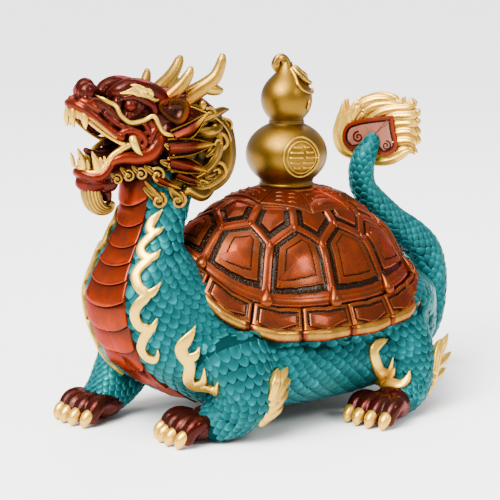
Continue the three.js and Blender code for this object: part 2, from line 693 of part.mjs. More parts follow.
function wholeShell() {
  const costal = (b) => scute([
    [b - 15, 0.84], [b, 0.84], [b + 15, 0.84], [b + 15, 0.69], [b, 0.585], [b - 15, 0.69]
  ]);
  const kite = (b) => scute([[b, 0.45], [b, 0.585], [b + 15, 0.69], [b + 30, 0.585], [b + 30, 0.45]]);
  const rimShield = (b) => scute(
    [[b + 10, rim.inner], [b - 10, rim.inner], [b - 10, 1], [b, rim.corner], [b + 10, 1]], rim.step);
  const shieldStarts = around(rim.shields, (b) => [shellPoint(radians(b - 10), rim.inner)]);
  const faces = [
    ...around(12, costal), ...around(12, kite), ...around(rim.shields, rimShield),
    ...fan(shellRing(12, 0.45, onSurface), vec(0, shell.shift, shell.crown)),
    ...zipper(shieldStarts, shellRing(24, 0.84, onSurface)),
    ...band(rimRing(underSide), rimRing(onSurface)),
    ...underFaces(0)
  ];
  const base = solid(new THREE.BufferGeometry().setFromPoints(faces));
  return joined([base, ...buds(), crownPlate()]).subtract(neck(castingGap));
}

// Pointed buds between the side scutes, standing on the rim shields.
function buds() {
  const bud = { count: 12, stations: [[0.9, 0, 1.9, 1.7], [0.865, 0.2, 2.7, 2.2], [0.8, 0, 0.5, 0.9]] };
  return around(bud.count, (b) => {
    const bearing = radians(b + 180 / bud.count);
    const stations = bud.stations.map(([share, lift, ...girth]) => (
      [...shellPoint(bearing, share, lift).divideScalar(grid).toArray(), ...girth]));
    const across = [-Math.sin(bearing), Math.cos(bearing), 0];
    return limb(stations, { sides: 4, wide: across, startRound: 0, endRound: 0 });
  });
}

// The eight-sided plate on the crown, with a flat round seat in its middle for the gourd.
const crownPlateRadius = 33 * grid;
const seat = { radius: 15.5 * grid, proud: 0.5 * grid, depth: 4 * grid, sides: 18 };

function crownPlate() {
  const ring = (share, lift) => Array.from({ length: 8 }, (_, k) => {
    const bearing = radians(22.5 + 45 * k);
    const reach = crownPlateRadius * share;
    return shellAt(reach * Math.cos(bearing), reach * Math.sin(bearing), lift * grid);
  });
  const plate = solid(ringSkin([ring(1, -2.5), ring(1, 1.4), ring(0.72, 1.2), ring(0.4, 0.4)]));
  const disc = new THREE.CylinderGeometry(seat.radius, seat.radius, seat.depth, seat.sides)
    .rotateX(Math.PI / 2).translate(0, 0, shell.crown + seat.proud - seat.depth / 2);
  return plate.add(solid(disc));
}

// Gourd
const gourd = {
  seat: shell.crown + seat.proud + castingGap,
  lowerHeight: 31.7 * grid, neckWidth: 16.5 * grid, footWidth: 27 * grid, footHeight: 1.4 * grid, sides: 16
};
const lowerBulb = {
  radius: gourdLowerWidth / 2, middle: gourd.seat + gourd.lowerHeight * 0.5, rise: gourd.lowerHeight * 0.52
};
const upperBulb = {
  radius: gourdUpperWidth / 2, middle: gourd.seat + gourd.lowerHeight + 11.3 * grid, rise: 13 * grid
};
// The upper bulb draws in to a slim top: radii and heights above its middle.
const gourdTop = [[5.6, 12.8], [3.8, 14.8], [2.8, 17.6]];

// [distance from the axis, height] on a bulb at an angle in degrees above its middle.
function bulbPoint(bulb, angle) {
  return [bulb.radius * Math.cos(radians(angle)), bulb.middle + bulb.rise * Math.sin(radians(angle))];
}

function gourdBody() {
  const arc = (bulb, from, to, steps) => Array.from({ length: steps + 1 }, (_, k) => (
    new THREE.Vector2(...bulbPoint(bulb, mix(from, to, k / steps)))));
  const foot = gourd.footWidth / 2;
  const profile = [
    new THREE.Vector2(0, gourd.seat),
    new THREE.Vector2(foot, gourd.seat),
    new THREE.Vector2(foot, gourd.seat + gourd.footHeight),
    ...arc(lowerBulb, -50, 64, 5),
    new THREE.Vector2(gourd.neckWidth / 2, gourd.seat + gourd.lowerHeight),
    ...arc(upperBulb, -46, 50, 4),
    ...gourdTop.map(([radius, height]) => new THREE.Vector2(radius * grid, upperBulb.middle + height * grid)),
    new THREE.Vector2(0, upperBulb.middle + (gourdTop.at(-1)[1] + 0.6) * grid)
  ];
  return solid(new THREE.LatheGeometry(profile, gourd.sides).rotateX(Math.PI / 2));
}

// The round mark on the lower bulb: a ring with rows of two short strokes, which are no letters.
const medallion = { bearing: -21.3, radius: 9.6 * grid, ringWidth: 1.1 * grid, proud: 0.7 * grid, depth: 6 };
const strokes = {
  rows: 4, pitch: 2.9 * grid, length: 3.4 * grid, height: 1.2 * grid, apart: 5.2 * grid, proud: 0.4
};

function medallionRelief() {
  const reach = lowerBulb.radius;
  const disc = (radius, from, to) => solid(new THREE.CylinderGeometry(radius, radius, to - from, 18)
    .rotateZ(Math.PI / 2).translate((from + to) / 2, 0, 0));
  const bore = medallion.radius - medallion.ringWidth;
  const ring = disc(medallion.radius, reach - medallion.depth, reach + medallion.proud)
    .subtract(disc(bore, reach - medallion.depth - 1, reach + 2 * medallion.proud));
  const pieces = [ring];
  for (let row = 0; row < strokes.rows; row += 1) {
    const up = (row - (strokes.rows - 1) / 2) * strokes.pitch;
    for (const side of [-1, 1]) {
      const centre = [reach + strokes.proud - medallion.depth / 2, side * strokes.apart / 2, up];
      pieces.push(block(medallion.depth, strokes.length, strokes.height, centre));
    }
  }
  const place = new THREE.Matrix4().makeTranslation(0, 0, lowerBulb.middle)
    .multiply(new THREE.Matrix4().makeRotationZ(radians(medallion.bearing)));
  return moved(joined(pieces), place);
}

// The leaf hangs from the stem down the upper bulb, half sunk in its skin, with a tendril beside it.
const leaf = {
  bearing: 41.5, lift: 1, angles: [78, 56, 31, 5], girths: [[2.6, 2.2], [5, 2.2], [4.4, 2.2], [1.6, 2]]
};
const tendril = { aside: 8 * grid, angle: 14, radius: 2.6, lift: -0.6 };

// [x, y, z] in grid squares on the upper bulb, lifted off its skin.
function onUpperBulb(bearing, angle, lift) {
  const [reach, height] = bulbPoint(upperBulb, angle);
  const outward = reach / grid + lift * Math.cos(radians(angle));
  return [outward * Math.cos(radians(bearing)), outward * Math.sin(radians(bearing)),
    height / grid + lift * Math.sin(radians(angle))];
}

function stemAndLeaf() {
  const top = upperBulb.middle / grid + 14.6;
  const across = [Math.sin(radians(leaf.bearing)), -Math.cos(radians(leaf.bearing)), 0];
  const leafRows = leaf.angles.map((angle, k) => (
    [...onUpperBulb(leaf.bearing, angle, leaf.lift), ...leaf.girths[k]]));
  const tendrilBearing = leaf.bearing - THREE.MathUtils.radToDeg(tendril.aside / upperBulb.radius);
  const tendrilAt = (lift) => onUpperBulb(tendrilBearing, tendril.angle, lift);
  const [root, tip] = [tendrilAt(0), tendrilAt(1)];
  return joined([
    limb([[0, 0, top, 2.9], [-0.6, -0.6, top + 6, 2.6], [-2.4, -2.6, top + 6.4, 2.2]], { sides: 6 }),
    ball([-2.9, -3.1, top + 3.8], [2.3, 2.3, 4.4]),
    limb(leafRows, { sides: 6, steps: 2, wide: across }),
    curl(tendrilAt(tendril.lift), tip.map((value, n) => value - root[n]), tendril.radius)
  ]);
}

function wholeGourd() {
  return joined([gourdBody(), medallionRelief(), stemAndLeaf()]);
}

// Raised flames on the skin
// Each has a wavy stroke of [x, y, z, halfWidth] stations, hooks from one such station to another
// and the way that it faces. Its copy on the other side is mirrored about a middle plane.
const flames = [
  {
    out: [0.5, -0.7, 0], middle: -7,
    stroke: [
      [8, -88, 108.6, 0.4], [6.3, -94, 101.5, 2.1], [6.2, -99.7, 91.8, 2.2], [10.8, -99, 87, 2.2],
      [9, -105.4, 80.5, 2.4], [14.2, -103.4, 71.8, 2.4], [11.1, -107.4, 63, 2.4], [15.4, -103.7, 55.8, 2.4],
      [10.8, -103.2, 47.5, 2.2], [13.5, -99.8, 40.6, 1.8]
    ],
    hooks: [
      [[6.6, -95.4, 97, 2], [11.2, -90.2, 101.4, 0.4]], [[10.3, -99.6, 86.6, 2.1], [14, -95, 91.5, 0.4]],
      [[13.2, -104, 70.8, 2.2], [16.8, -98, 76.7, 0.4]], [[14.2, -104, 54.8, 2.2], [17.7, -100, 61.1, 0.4]],
      [[12.6, -100, 41.6, 2], [17, -98.6, 46.4, 0.4]]
    ]
  },
  {
    out: [0.7, -0.6, 0], middle: -2,
    stroke: [
      [26.7, -85.3, 56.3, 0.4], [22.9, -90.3, 47.5, 2.9], [24.3, -86.5, 39.8, 2.7], [22.4, -84.2, 33, 2.7],
      [26.6, -80.6, 27.5, 2.5], [34, -78.5, 25, 1.8]
    ],
    hooks: [
      [[24, -88, 40.6, 2.4], [29, -84.7, 46.5, 0.4]], [[24, -82, 29.6, 2.4], [31.4, -81, 38.1, 0.4]],
      [[32.6, -79, 25, 2.2], [38.4, -78.5, 32, 0.4]]
    ]
  },
  {
    out: [1, 0, 0], middle: 0,
    stroke: [
      [52.8, 16.4, 38.1, 0.4], [52, 4.1, 33.9, 2.6], [50.8, 9.6, 26.4, 2.6], [51, 15.5, 18.8, 2.4],
      [60, 19, 17.2, 1.8]
    ],
    hooks: [
      [[50.8, 9, 27, 2.4], [53.3, 18.3, 30.1, 0.4]], [[52, 16.6, 18.4, 2.4], [56.3, 20.4, 25.2, 0.4]],
      [[58.6, 18.6, 17.4, 2], [61.9, 24.1, 23.3, 0.4]]
    ]
  }
];
const flameThickness = 4.4;
// A four-sided limb is given by how far its corners reach.
const cornerReach = Math.SQRT2;

function flame({ out, middle, stroke, hooks }) {
  return bothSides((side) => {
    const ribbon = (stations) => limb(
      stations.map(([x, y, z, halfWidth]) => (
        [middle + side * (x - middle), y, z, cornerReach * flameThickness / 2, cornerReach * halfWidth])),
      { sides: 4, wide: [side * out[0], out[1], out[2]], startRound: 0, endRound: 0 });
    return joined([stroke, ...hooks].map(ribbon));
  });
}

// Tufts of hair behind the elbows and the hocks, as stations of a flat lock.
const legTufts = [
  [[43, -59, 10, 2.4, 3], [48.5, -54.5, 20, 3.6, 7], [49, -48, 28, 3, 5], [47, -40.5, 33, 0.8, 1]],
  [[57, 46, 12, 2, 3], [58, 50, 20, 3.4, 6], [58, 55, 27, 2.8, 4.5], [57, 58.5, 36, 0.8, 1]]
];

function legTuft(stations) {
  return [stations, mirrored(stations)].map((rows) => limb(rows, { sides: 6, startRound: 0, endRound: 0 }));
}

// Whole figure
function wholeBody() {
  const skin = joined([
    trunk(),
    ...Object.values(legs).map((stations) => limb(stations)),
    limb(tailStations)
  ]);
  const ground = block(600 * grid, 600 * grid, 40 * grid, [0, 0, -20 * grid]);
  const shellSpace = shellRoom(castingGap).subtract(neck());
  const trims = [
    ...flames.flatMap(flame), ...legTufts.flatMap(legTuft), ...paws.map(paw), tailTuft(), wholeHead()
  ];
  return joined([skin, ...trims]).subtract(shellSpace).subtract(ground);
}

const figure = new THREE.Group();
for (const [name, build] of Object.entries({ body: wholeBody, shell: wholeShell, gourd: wholeGourd })) {
  const mesh = new THREE.Mesh(filled(toGeometry(build())), finishes[name]);
  mesh.name = name;
  figure.add(mesh);
}
const bounds = new THREE.Box3().setFromObject(figure);
const centre = bounds.getCenter(vec(0, 0, 0));
figure.position.set(-centre.x, -centre.y, -bounds.min.z);

export default figure;
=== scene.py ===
import math

import bpy
import numpy as np
from bpy.props import FloatProperty, FloatVectorProperty, PointerProperty
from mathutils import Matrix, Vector
from mathutils.bvhtree import BVHTree


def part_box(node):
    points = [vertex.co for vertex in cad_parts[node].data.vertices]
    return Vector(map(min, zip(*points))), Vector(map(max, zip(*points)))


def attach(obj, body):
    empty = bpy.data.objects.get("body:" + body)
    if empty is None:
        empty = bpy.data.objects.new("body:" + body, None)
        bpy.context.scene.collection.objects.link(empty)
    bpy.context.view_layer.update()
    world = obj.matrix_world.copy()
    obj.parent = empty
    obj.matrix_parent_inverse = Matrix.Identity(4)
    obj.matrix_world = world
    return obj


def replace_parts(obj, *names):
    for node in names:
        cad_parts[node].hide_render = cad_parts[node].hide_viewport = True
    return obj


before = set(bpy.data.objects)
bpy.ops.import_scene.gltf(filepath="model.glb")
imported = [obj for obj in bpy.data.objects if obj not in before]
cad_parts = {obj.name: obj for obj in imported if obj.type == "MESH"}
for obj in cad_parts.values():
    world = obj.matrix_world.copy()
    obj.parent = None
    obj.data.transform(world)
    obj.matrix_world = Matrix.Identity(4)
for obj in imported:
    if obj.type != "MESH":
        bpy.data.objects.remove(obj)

bl_info = {
    "name": "Dragon Turtle",
    "version": (1, 0, 0),
    "blender": (4, 5, 0),
    "location": "View3D > Sidebar > Dragon Turtle",
    "description": "Dresses the cast dragon turtle: scales, lacquer, brass trims, shell and gourd",
    "category": "Object",
}

# The pose is drawn in millimetres round the gourd's axis, as in the part's source. The frame's own
# origin is the middle of the figure's box, so every point is shifted along Y by this much.
MM = 0.001
TAIL_REACH = 118.754
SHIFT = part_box("body")[1].y / MM - TAIL_REACH
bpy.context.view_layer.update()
RANDOM_SEED = 7
SIDES = (1, -1)


def to_frame(points):
    """Drawn points, in the frame's metres."""
    return (points + [0, SHIFT, 0]) * MM


def to_drawing(points):
    """Places in the frame, in the drawing's millimetres."""
    return np.array(points) / MM - [0, SHIFT, 0]


# Curves and skins

def smooth_rows(rows, steps):
    """Rows of numbers drawn through their stations as a smooth curve."""
    rows = np.array(rows, float)
    last = len(rows) - 1
    out = []
    for i in range(last):
        before, a, b, after = rows[max(i - 1, 0)], rows[i], rows[i + 1], rows[min(i + 2, last)]
        for t in np.arange(steps) / steps:
            out.append(0.5 * (2 * a + (b - before) * t + (2 * before - 5 * a + 4 * b - after) * t * t
                              + (3 * a - 3 * b + after - before) * t ** 3))
    return np.array(out + [rows[last]])


def unit(v):
    """Directions one long."""
    return v / (np.linalg.norm(v, axis=-1, keepdims=True) + 1e-12)


def ring_faces(rings, count, closed=True):
    """Four-sided faces between rows of points that run round a tube, or across a sheet."""
    across = count if closed else count - 1
    r, k = np.meshgrid(np.arange(rings - 1), np.arange(across), indexing="ij")
    a, b = r * count + k, r * count + (k + 1) % count
    return np.stack([a, b, b + count, a + count], -1).reshape(-1, 4)


def closed_skin(rings):
    """(points, faces) of a body through rings of as many points each, closed on the middles of its ends."""
    rings = np.asarray(rings, float)
    number, count = rings.shape[:2]
    k, total = np.arange(count), number * count
    lower = np.stack([(k + 1) % count, k, np.full(count, total)], -1)
    upper = np.stack([total - count + k, total - count + (k + 1) % count, np.full(count, total + 1)], -1)
    points = np.concatenate([rings.reshape(-1, 3), rings[:1].mean(1), rings[-1:].mean(1)])
    return points, [ring_faces(number, count), lower, upper]


def loft(stations, sides=12, steps=4, wide=(1, 0, 0), caps=(0.6, 0.6), ribs=(0, 0.0)):
    """A tube through [x, y, z, half width, half depth] stations, whose ends are rounded by the caps'
    shares of their girth. Ribs are (count round the tube, depth as a share of its radius), for hair."""
    rows = smooth_rows([(*s, s[3]) if len(s) == 4 else s for s in stations], steps)
    centres, girth = rows[:, :3], np.maximum(rows[:, 3:5], 0.02)
    along = unit(np.gradient(centres, axis=0))
    across = np.broadcast_to(np.array(wide, float), along.shape)
    across = unit(across - along * (along * across).sum(1, keepdims=True))
    deep = np.cross(along, across)
    angle = 2 * np.pi * (np.arange(sides) + 0.5) / sides
    swell = 1 + ribs[1] * np.cos(ribs[0] * angle)
    ring = lambda i, share, shift: (
        centres[i] + along[i] * shift
        + np.outer(np.cos(angle) * swell, across[i]) * girth[i, 0] * share
        + np.outer(np.sin(angle) * swell, deep[i]) * girth[i, 1] * share)
    rings = [ring(i, 1, 0) for i in range(len(rows))]
    for end, reach in ((0, -caps[0]), (len(rows) - 1, caps[1])):
        if reach:
            small = min(girth[end])
            rounds = [ring(end, math.cos(t), reach * small * math.sin(t)) for t in (0.5, 1.0, 1.4)]
            rings = rounds[::-1] + rings if end == 0 else rings + rounds
    return closed_skin(rings)


def ball(centre, radii, across=20, down=14):
    """A ball with three radii."""
    t = np.pi * np.linspace(0.02, 0.98, down)
    a = 2 * np.pi * np.arange(across) / across
    rings = np.stack([np.outer(np.sin(t), np.cos(a)), np.outer(np.sin(t), np.sin(a)),
                      np.outer(-np.cos(t), np.ones(across))], -1)
    points, faces = closed_skin(rings)
    return points * np.array(radii, float) + np.array(centre, float), faces


def coil(centre, facing, radius, turns, girth, start, hand, rise, sides=8):
    """A curled lock that winds inwards to a raised knob, from a start in degrees. Its girth and its
    rise are shares of its radius, and its hand is 1 or -1."""
    out = unit(np.array(facing, float))
    side = unit(np.cross([0, 0, 1], out))
    up = np.cross(out, side)
    share = np.linspace(0, 1, 14)
    angle = math.radians(start) + hand * 2 * math.pi * turns * share
    reach = radius * (0.78 * (1 - share) ** 0.8 + 0.1)
    path = (np.array(centre, float) + np.outer(reach * np.cos(angle), side)
            + np.outer(reach * np.sin(angle), up) + np.outer(radius * rise * share ** 1.5, out))
    width = radius * girth * (1 - 0.25 * share)
    rows = [[*p, w, w] for p, w in zip(path, width)]
    return loft(rows, sides=sides, steps=2, wide=facing, caps=(0.5, 0.9))


def turned(points, place):
    """Points drawn in a piece's own place, turned about Z by place[3] degrees and set down there."""
    c, s = math.cos(math.radians(place[3])), math.sin(math.radians(place[3]))
    return points @ np.array([[c, s, 0], [-s, c, 0], [0, 0, 1]]) + np.array(place[:3], float)


class Clay:
    """Points, faces and a tone per point, gathered in millimetres and made one piece."""

    def __init__(self, place=None):
        self.place = place
        self.points, self.faces, self.tones, self.total = [], [], [], 0

    def add(self, shape, tone=0.5):
        """Adds (points, faces), where faces is one array or a list, with one tone or one per point."""
        points, faces = shape
        points = np.asarray(points, float)
        if self.place is not None:
            points = turned(points, self.place)
        self.points.append(points)
        faces = faces if isinstance(faces, list) else [faces]
        self.faces += [np.asarray(part) + self.total for part in faces]
        self.tones.append(np.broadcast_to(np.asarray(tone, float), len(points)))
        self.total += len(points)
        return self

    def mesh(self, name):
        """The gathered forms as one mesh, with its tones as an attribute."""
        mesh = bpy.data.meshes.new(name)
        points = to_frame(np.concatenate(self.points))
        sizes = np.concatenate([np.full(len(f), f.shape[1]) for f in self.faces])
        corners = np.concatenate([f.ravel() for f in self.faces])
        mesh.vertices.add(len(points))
        mesh.vertices.foreach_set("co", points.astype(np.float32).ravel())
        mesh.loops.add(len(corners))
        mesh.loops.foreach_set("vertex_index", corners.astype(np.int32))
        mesh.polygons.add(len(sizes))
        starts = np.concatenate([[0], np.cumsum(sizes)[:-1]])
        mesh.polygons.foreach_set("loop_start", starts.astype(np.int32))
        tone = mesh.attributes.new("tone", "FLOAT", "POINT")
        tone.data.foreach_set("value", np.concatenate(self.tones).astype(np.float32))
        mesh.update(calc_edges=True)
        mesh.validate()
        return mesh

    def piece(self, name, finish, angle=None):
        """The gathered forms as a dressed object of the scene."""
        obj = bpy.data.objects.new(name, self.mesh(name))
        bpy.context.collection.objects.link(obj)
        return dressed(obj, finish, angle)


def only(obj):
    """Makes this object the only one selected, and the active one."""
    bpy.ops.object.select_all(action="DESELECT")
    obj.select_set(True)
    bpy.context.view_layer.objects.active = obj


def dressed(obj, finish, angle=None):
    """Gives a piece its finish and its body, with outward faces and smooth shading. Edges
    sharper than the angle, in degrees, stay crisp."""
    only(obj)
    bpy.ops.object.mode_set(mode="EDIT")
    bpy.ops.mesh.select_all(action="SELECT")
    bpy.ops.mesh.normals_make_consistent(inside=False)
    bpy.ops.object.mode_set(mode="OBJECT")
    if angle:
        bpy.ops.object.shade_smooth_by_angle(angle=math.radians(angle))
    else:
        bpy.ops.object.shade_smooth()
    obj.data.materials.clear()
    obj.data.materials.append(finish)
    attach(obj, "root")
    return obj


def modelled(obj, voxel, rounds):
    """Fuses a clay piece's overlapping forms into one skin and smooths it, as by hand. Each point
    takes the tone of the nearest form."""
    only(obj)
    tree = skin_tree(obj)
    first = [polygon.vertices[0] for polygon in obj.data.polygons]
    tones = [item.value for item in obj.data.attributes["tone"].data]
    for kind, values in (("REMESH", {"mode": "VOXEL", "voxel_size": voxel * MM}),
                         ("SMOOTH", {"factor": 0.5, "iterations": rounds})):
        modifier = obj.modifiers.new(kind.title(), kind)
        for key, value in values.items():
            setattr(modifier, key, value)
        bpy.ops.object.modifier_apply(modifier=modifier.name)
    nearest = [tones[first[tree.find_nearest(vertex.co / MM)[2]]] for vertex in obj.data.vertices]
    if "tone" in obj.data.attributes:
        obj.data.attributes.remove(obj.data.attributes["tone"])
    obj.data.attributes.new("tone", "FLOAT", "POINT").data.foreach_set("value", nearest)
    return obj


def skin_tree(obj):
    """A piece's faces, in millimetres, for finding the nearest one."""
    faces = [polygon.vertices for polygon in obj.data.polygons]
    return BVHTree.FromPolygons([vertex.co / MM for vertex in obj.data.vertices], faces)


def nearest_on(tree, p):
    """(point, outward normal, distance) of the place on a piece that is nearest to a drawn point."""
    near, normal, _, distance = tree.find_nearest(Vector(p) + Vector((0, SHIFT, 0)))
    return np.array(near) - [0, SHIFT, 0], np.array(normal), distance


# Body

# Drawn on the same stations as the part's source. A trunk station is [shift to the left, the front's y
# and z, the back's y and z, half width], and a limb's is [x, y, z, half width, half depth].

TRUNK = [
    [-7, -94, 134, -60, 141, 13], [-7, -96, 123, -60, 130, 14], [-7, -96, 111, -61, 118, 14.8],
    [-7, -96.5, 101, -66, 108, 17.5], [-7, -101, 91.5, -72, 98, 21], [-7, -106, 83.5, -71.5, 91, 23],
    [-7, -110, 75, -67, 85, 26], [-7, -112.5, 65, -60, 79, 28.5], [-6.5, -109.5, 53, -52, 73, 32],
    [-6, -103, 41.5, -42, 70, 36], [-5, -94.5, 32, -32, 69, 40.5], [-3, -77, 21, -20, 69, 45.5],
    [-1, -57, 12.5, -6, 70, 49.5], [0, -20, 9.5, 8, 71, 52.5], [0, 20, 9.5, 30, 71, 53],
    [0, 48, 16, 52, 68, 49], [0, 72, 27, 68, 64, 38], [0, 88, 40, 84, 60, 23], [0, 94, 50, 91, 58, 8],
]
TRUNK_STEPS = 12
TRUNK_ROWS = smooth_rows(TRUNK, TRUNK_STEPS)
BELLY = {"plates": 12, "first": 0.8, "last": 12.6, "fold": 0.32,
         "half_widths": [9.6, 9.6, 9.3, 8.6, 9.3, 10.8, 12.4, 13.8, 13.4, 12.2, 10.6, 9.4, 8, 6]}
# One belly plate from its upper to its lower edge, as [share of its length, rise, tone]. Its tone
# is painted shade at the step under the plate above and a painted highlight near its lower edge.
BELLY_PLATE = np.array([[0.0, -0.6, 0.0], [0.04, -0.1, 0.1], [0.12, 0.15, 0.45], [0.3, 0.35, 0.62],
                        [0.55, 0.6, 0.75], [0.8, 0.95, 0.9], [0.93, 1.1, 1.0], [0.985, 1.05, 0.8],
                        [1.0, 0.6, 0.15]])
LEGS = {
    "near_front": [[33, -66, 42, 15, 19], [38, -66, 33, 14, 15.5], [39.5, -64.5, 23, 13, 13.5],
                   [34, -68, 14, 12, 12.5], [26, -76, 8, 11, 8]],
    "far_front": [[-36, -66, 42, 15, 19], [-43, -64, 33, 15, 17], [-45, -68, 23, 13.5, 15.5],
                  [-43, -78, 14, 12, 12.5], [-42, -88, 8, 11, 8]],
    "near_hind": [[38, 32, 46, 14, 20], [46, 32, 36, 15, 19], [52, 33, 26, 13.5, 15],
                  [55, 30, 15, 12, 12.5], [58, 20, 8, 11, 8]],
}
LEGS["far_hind"] = [[-row[0], *row[1:]] for row in LEGS["near_hind"]]
# Each paw's [x, y, z] and its turn in degrees
PAWS = {"near_front": (17.5, -94.5, 0, -14), "far_front": (-41.5, -105.5, 0, -2),
        "near_hind": (60, -6, 0, 4), "far_hind": (-60, -6, 0, -4)}
TAIL = [
    [0, 80, 40, 15, 14], [0, 93, 25, 13, 12.5], [0, 103, 28.5, 11.6, 10.7], [0, 108.2, 42, 10.8, 9.4],
    [0, 107.8, 55, 10.6, 9.6], [0, 102.6, 66.5, 10.3, 9.8], [0, 91.5, 76, 9.3, 9.1],
    [0, 79.2, 84, 8.1, 8.1], [0, 66, 94.5, 7.4, 7.4], [0, 57.5, 102.5, 6.8, 6.8],
    [0, 54.4, 110, 6.6, 6.6], [0, 55.5, 118, 6.4, 6.4], [0, 60, 124.5, 5.2, 5.2],
    [0, 63.5, 130, 3.6, 3.6],
]

# The skin lies so far under the scales' stations, and so far under the shell. Its forms are fused from
# blocks of the voxel's side, and smoothed in as many rounds.
SKIN = {"sunk": 0.4, "under_shell": 1, "rows": 110, "around": 72, "voxel": 1.3, "rounds": 8}
# Where the neck rises through the shell's front, how high and wide a paw's bare place is and how high
# the soles reach, the inner side of the tail's bend, and the throat above the belly plates
NECK = {"back": -50, "foot": 50, "middle": -7, "half_width": 33}
PAW_TOP, PAW_REACH, SOLE_TOP = 11, 24, 3
TAIL_BEND = {"back": 101, "low": 30, "high": 70}
THROAT = {"back": -55, "low": 118}
# The back that the shell hides: from this station on, between these shares of half a turn; and the
# room that scales keep to the belly plates
BACK = {"first": 9, "start": 0.62, "end": 1.38}
BELLY_ROOM = 2.4


def trunk_points(place, angle, lift=0.0):
    """Points of the trunk's skin at places along its stations and angles from the belly's middle."""
    place = np.clip(np.asarray(place, float), 0, len(TRUNK) - 1) * TRUNK_STEPS
    index = np.arange(len(TRUNK_ROWS))
    columns = [np.interp(place, index, column) for column in TRUNK_ROWS.T]
    shift, front_y, front_z, back_y, back_z, half = columns
    dy, dz = (front_y - back_y) / 2, (front_z - back_z) / 2
    deep = np.hypot(dy, dz)
    broad = np.clip((half - 30) / 20, 0, 1)
    square = 0.04 + 0.14 * broad ** 2 * (3 - 2 * broad)
    full = 1 + square * np.abs(np.sin(2 * angle))
    reach = (deep * full + lift) * np.cos(angle) / deep
    return np.stack([shift + (half * full + lift) * np.sin(angle), (front_y + back_y) / 2 + dy * reach,
                     (front_z + back_z) / 2 + dz * reach], -1)


def belly_half(place):
    """Half the belly band's angle at a place along the trunk."""
    half_width = np.interp(place, np.arange(len(BELLY["half_widths"])), BELLY["half_widths"])
    half = np.interp(place, np.arange(len(TRUNK)), [row[5] for row in TRUNK])
    return np.where((place > 0.4) & (place < 13.2), np.arcsin(np.minimum(0.9, half_width / half)), 0)


def in_neck(points):
    """True for points within the neck, which rises through the shell's front."""
    beside = np.abs(points[:, 0] - NECK["middle"])
    return (points[:, 1] < NECK["back"]) & (points[:, 2] > NECK["foot"]) & (beside < NECK["half_width"])


def make_skin(finish):
    """The smooth skin under the scales: trunk, legs and tail fused, held clear of the shell."""
    clay = Clay()
    places = np.linspace(0, len(TRUNK) - 1, SKIN["rows"])
    angles = np.linspace(0, 2 * np.pi, SKIN["around"] + 1)[:-1]
    place, angle = np.meshgrid(places, angles, indexing="ij")
    points = trunk_points(place.ravel(), angle.ravel(), -SKIN["sunk"])
    clay.add(closed_skin(points.reshape(SKIN["rows"], SKIN["around"], 3)))
    for rows, steps in (*((rows, 8) for rows in LEGS.values()), (TAIL, 6)):
        sunk = [[*row[:3], row[3] - SKIN["sunk"], row[4] - SKIN["sunk"]] for row in rows]
        clay.add(loft(sunk, sides=36, steps=steps))
    skin = modelled(clay.piece("skin", finish), SKIN["voxel"], SKIN["rounds"])
    points = np.empty(len(skin.data.vertices) * 3, np.float32)
    skin.data.vertices.foreach_get("co", points)
    points = to_drawing(points.reshape(-1, 3))
    share, bearing = shell_place(points)
    ceiling = under_side(bearing, share) - SKIN["under_shell"]
    under_dome = points[:, 2] < dome(points[:, 0], points[:, 1])[:, 2]
    buried = (share < 1.03) & (points[:, 2] > ceiling) & under_dome & ~in_neck(points)
    points[buried, 2] = ceiling[buried]
    skin.data.vertices.foreach_set("co", to_frame(points).astype(np.float32).ravel())
    skin.data.update()
    return dressed(skin, finish)


# Scales

# The rows' pitch, the least room round a scale and the room that calls for one more, as shares of its
# width; how far the skin may lie from the drawn tube, and the side of the cells that scales are kept in
PITCH = 0.62
ROOM = 0.56
BARE = 0.72
SKIN_REACH = 4.0
CELL = 5
RING_POINTS = 181
LIMB_STEPS = 12


def scale_shape():
    """One scale, a share of its width wide, its blunt tip at +Y: a bevelled plate with a skirt round
    its tip."""
    half = [(0.4, -0.62), (0.49, -0.25), (0.5, 0.06), (0.41, 0.32), (0.22, 0.54), (0.0, 0.66)]
    outline = np.array([(-x, y) for x, y in half] + half[-2::-1])
    tilt = lambda y: -0.05 + 0.17 * (y + 0.6) / 1.2
    skirt = np.column_stack([outline, tilt(outline[:, 1]) - 0.2])
    edge = np.column_stack([outline, tilt(outline[:, 1])])
    inner = np.column_stack([outline * 0.8 + [0, -0.03], tilt(outline[:, 1] * 0.8) + 0.05])
    points = np.concatenate([skirt, edge, inner, [[0, 0.05, tilt(0.0) + 0.08]]])
    count = len(outline)
    k, last = 2 * count + np.arange(count - 1), 3 * count
    faces = [ring_faces(3, count, closed=False), np.stack([k, k + 1, np.full(count - 1, last)], -1),
             np.array([[last - 1, 2 * count, last]])]
    # Tones: darkest at the skirt, patina with painted shade, and lighter towards the tip with a painted
    # sheen.
    shade_to_sheen = np.clip((outline[:, 1] + 0.62) / 1.28, 0, 1)
    tones = [np.zeros(count), 0.2 + 0.4 * shade_to_sheen, 0.3 + 0.66 * shade_to_sheen ** 1.3, [0.66]]
    return points, faces, np.concatenate(tones)


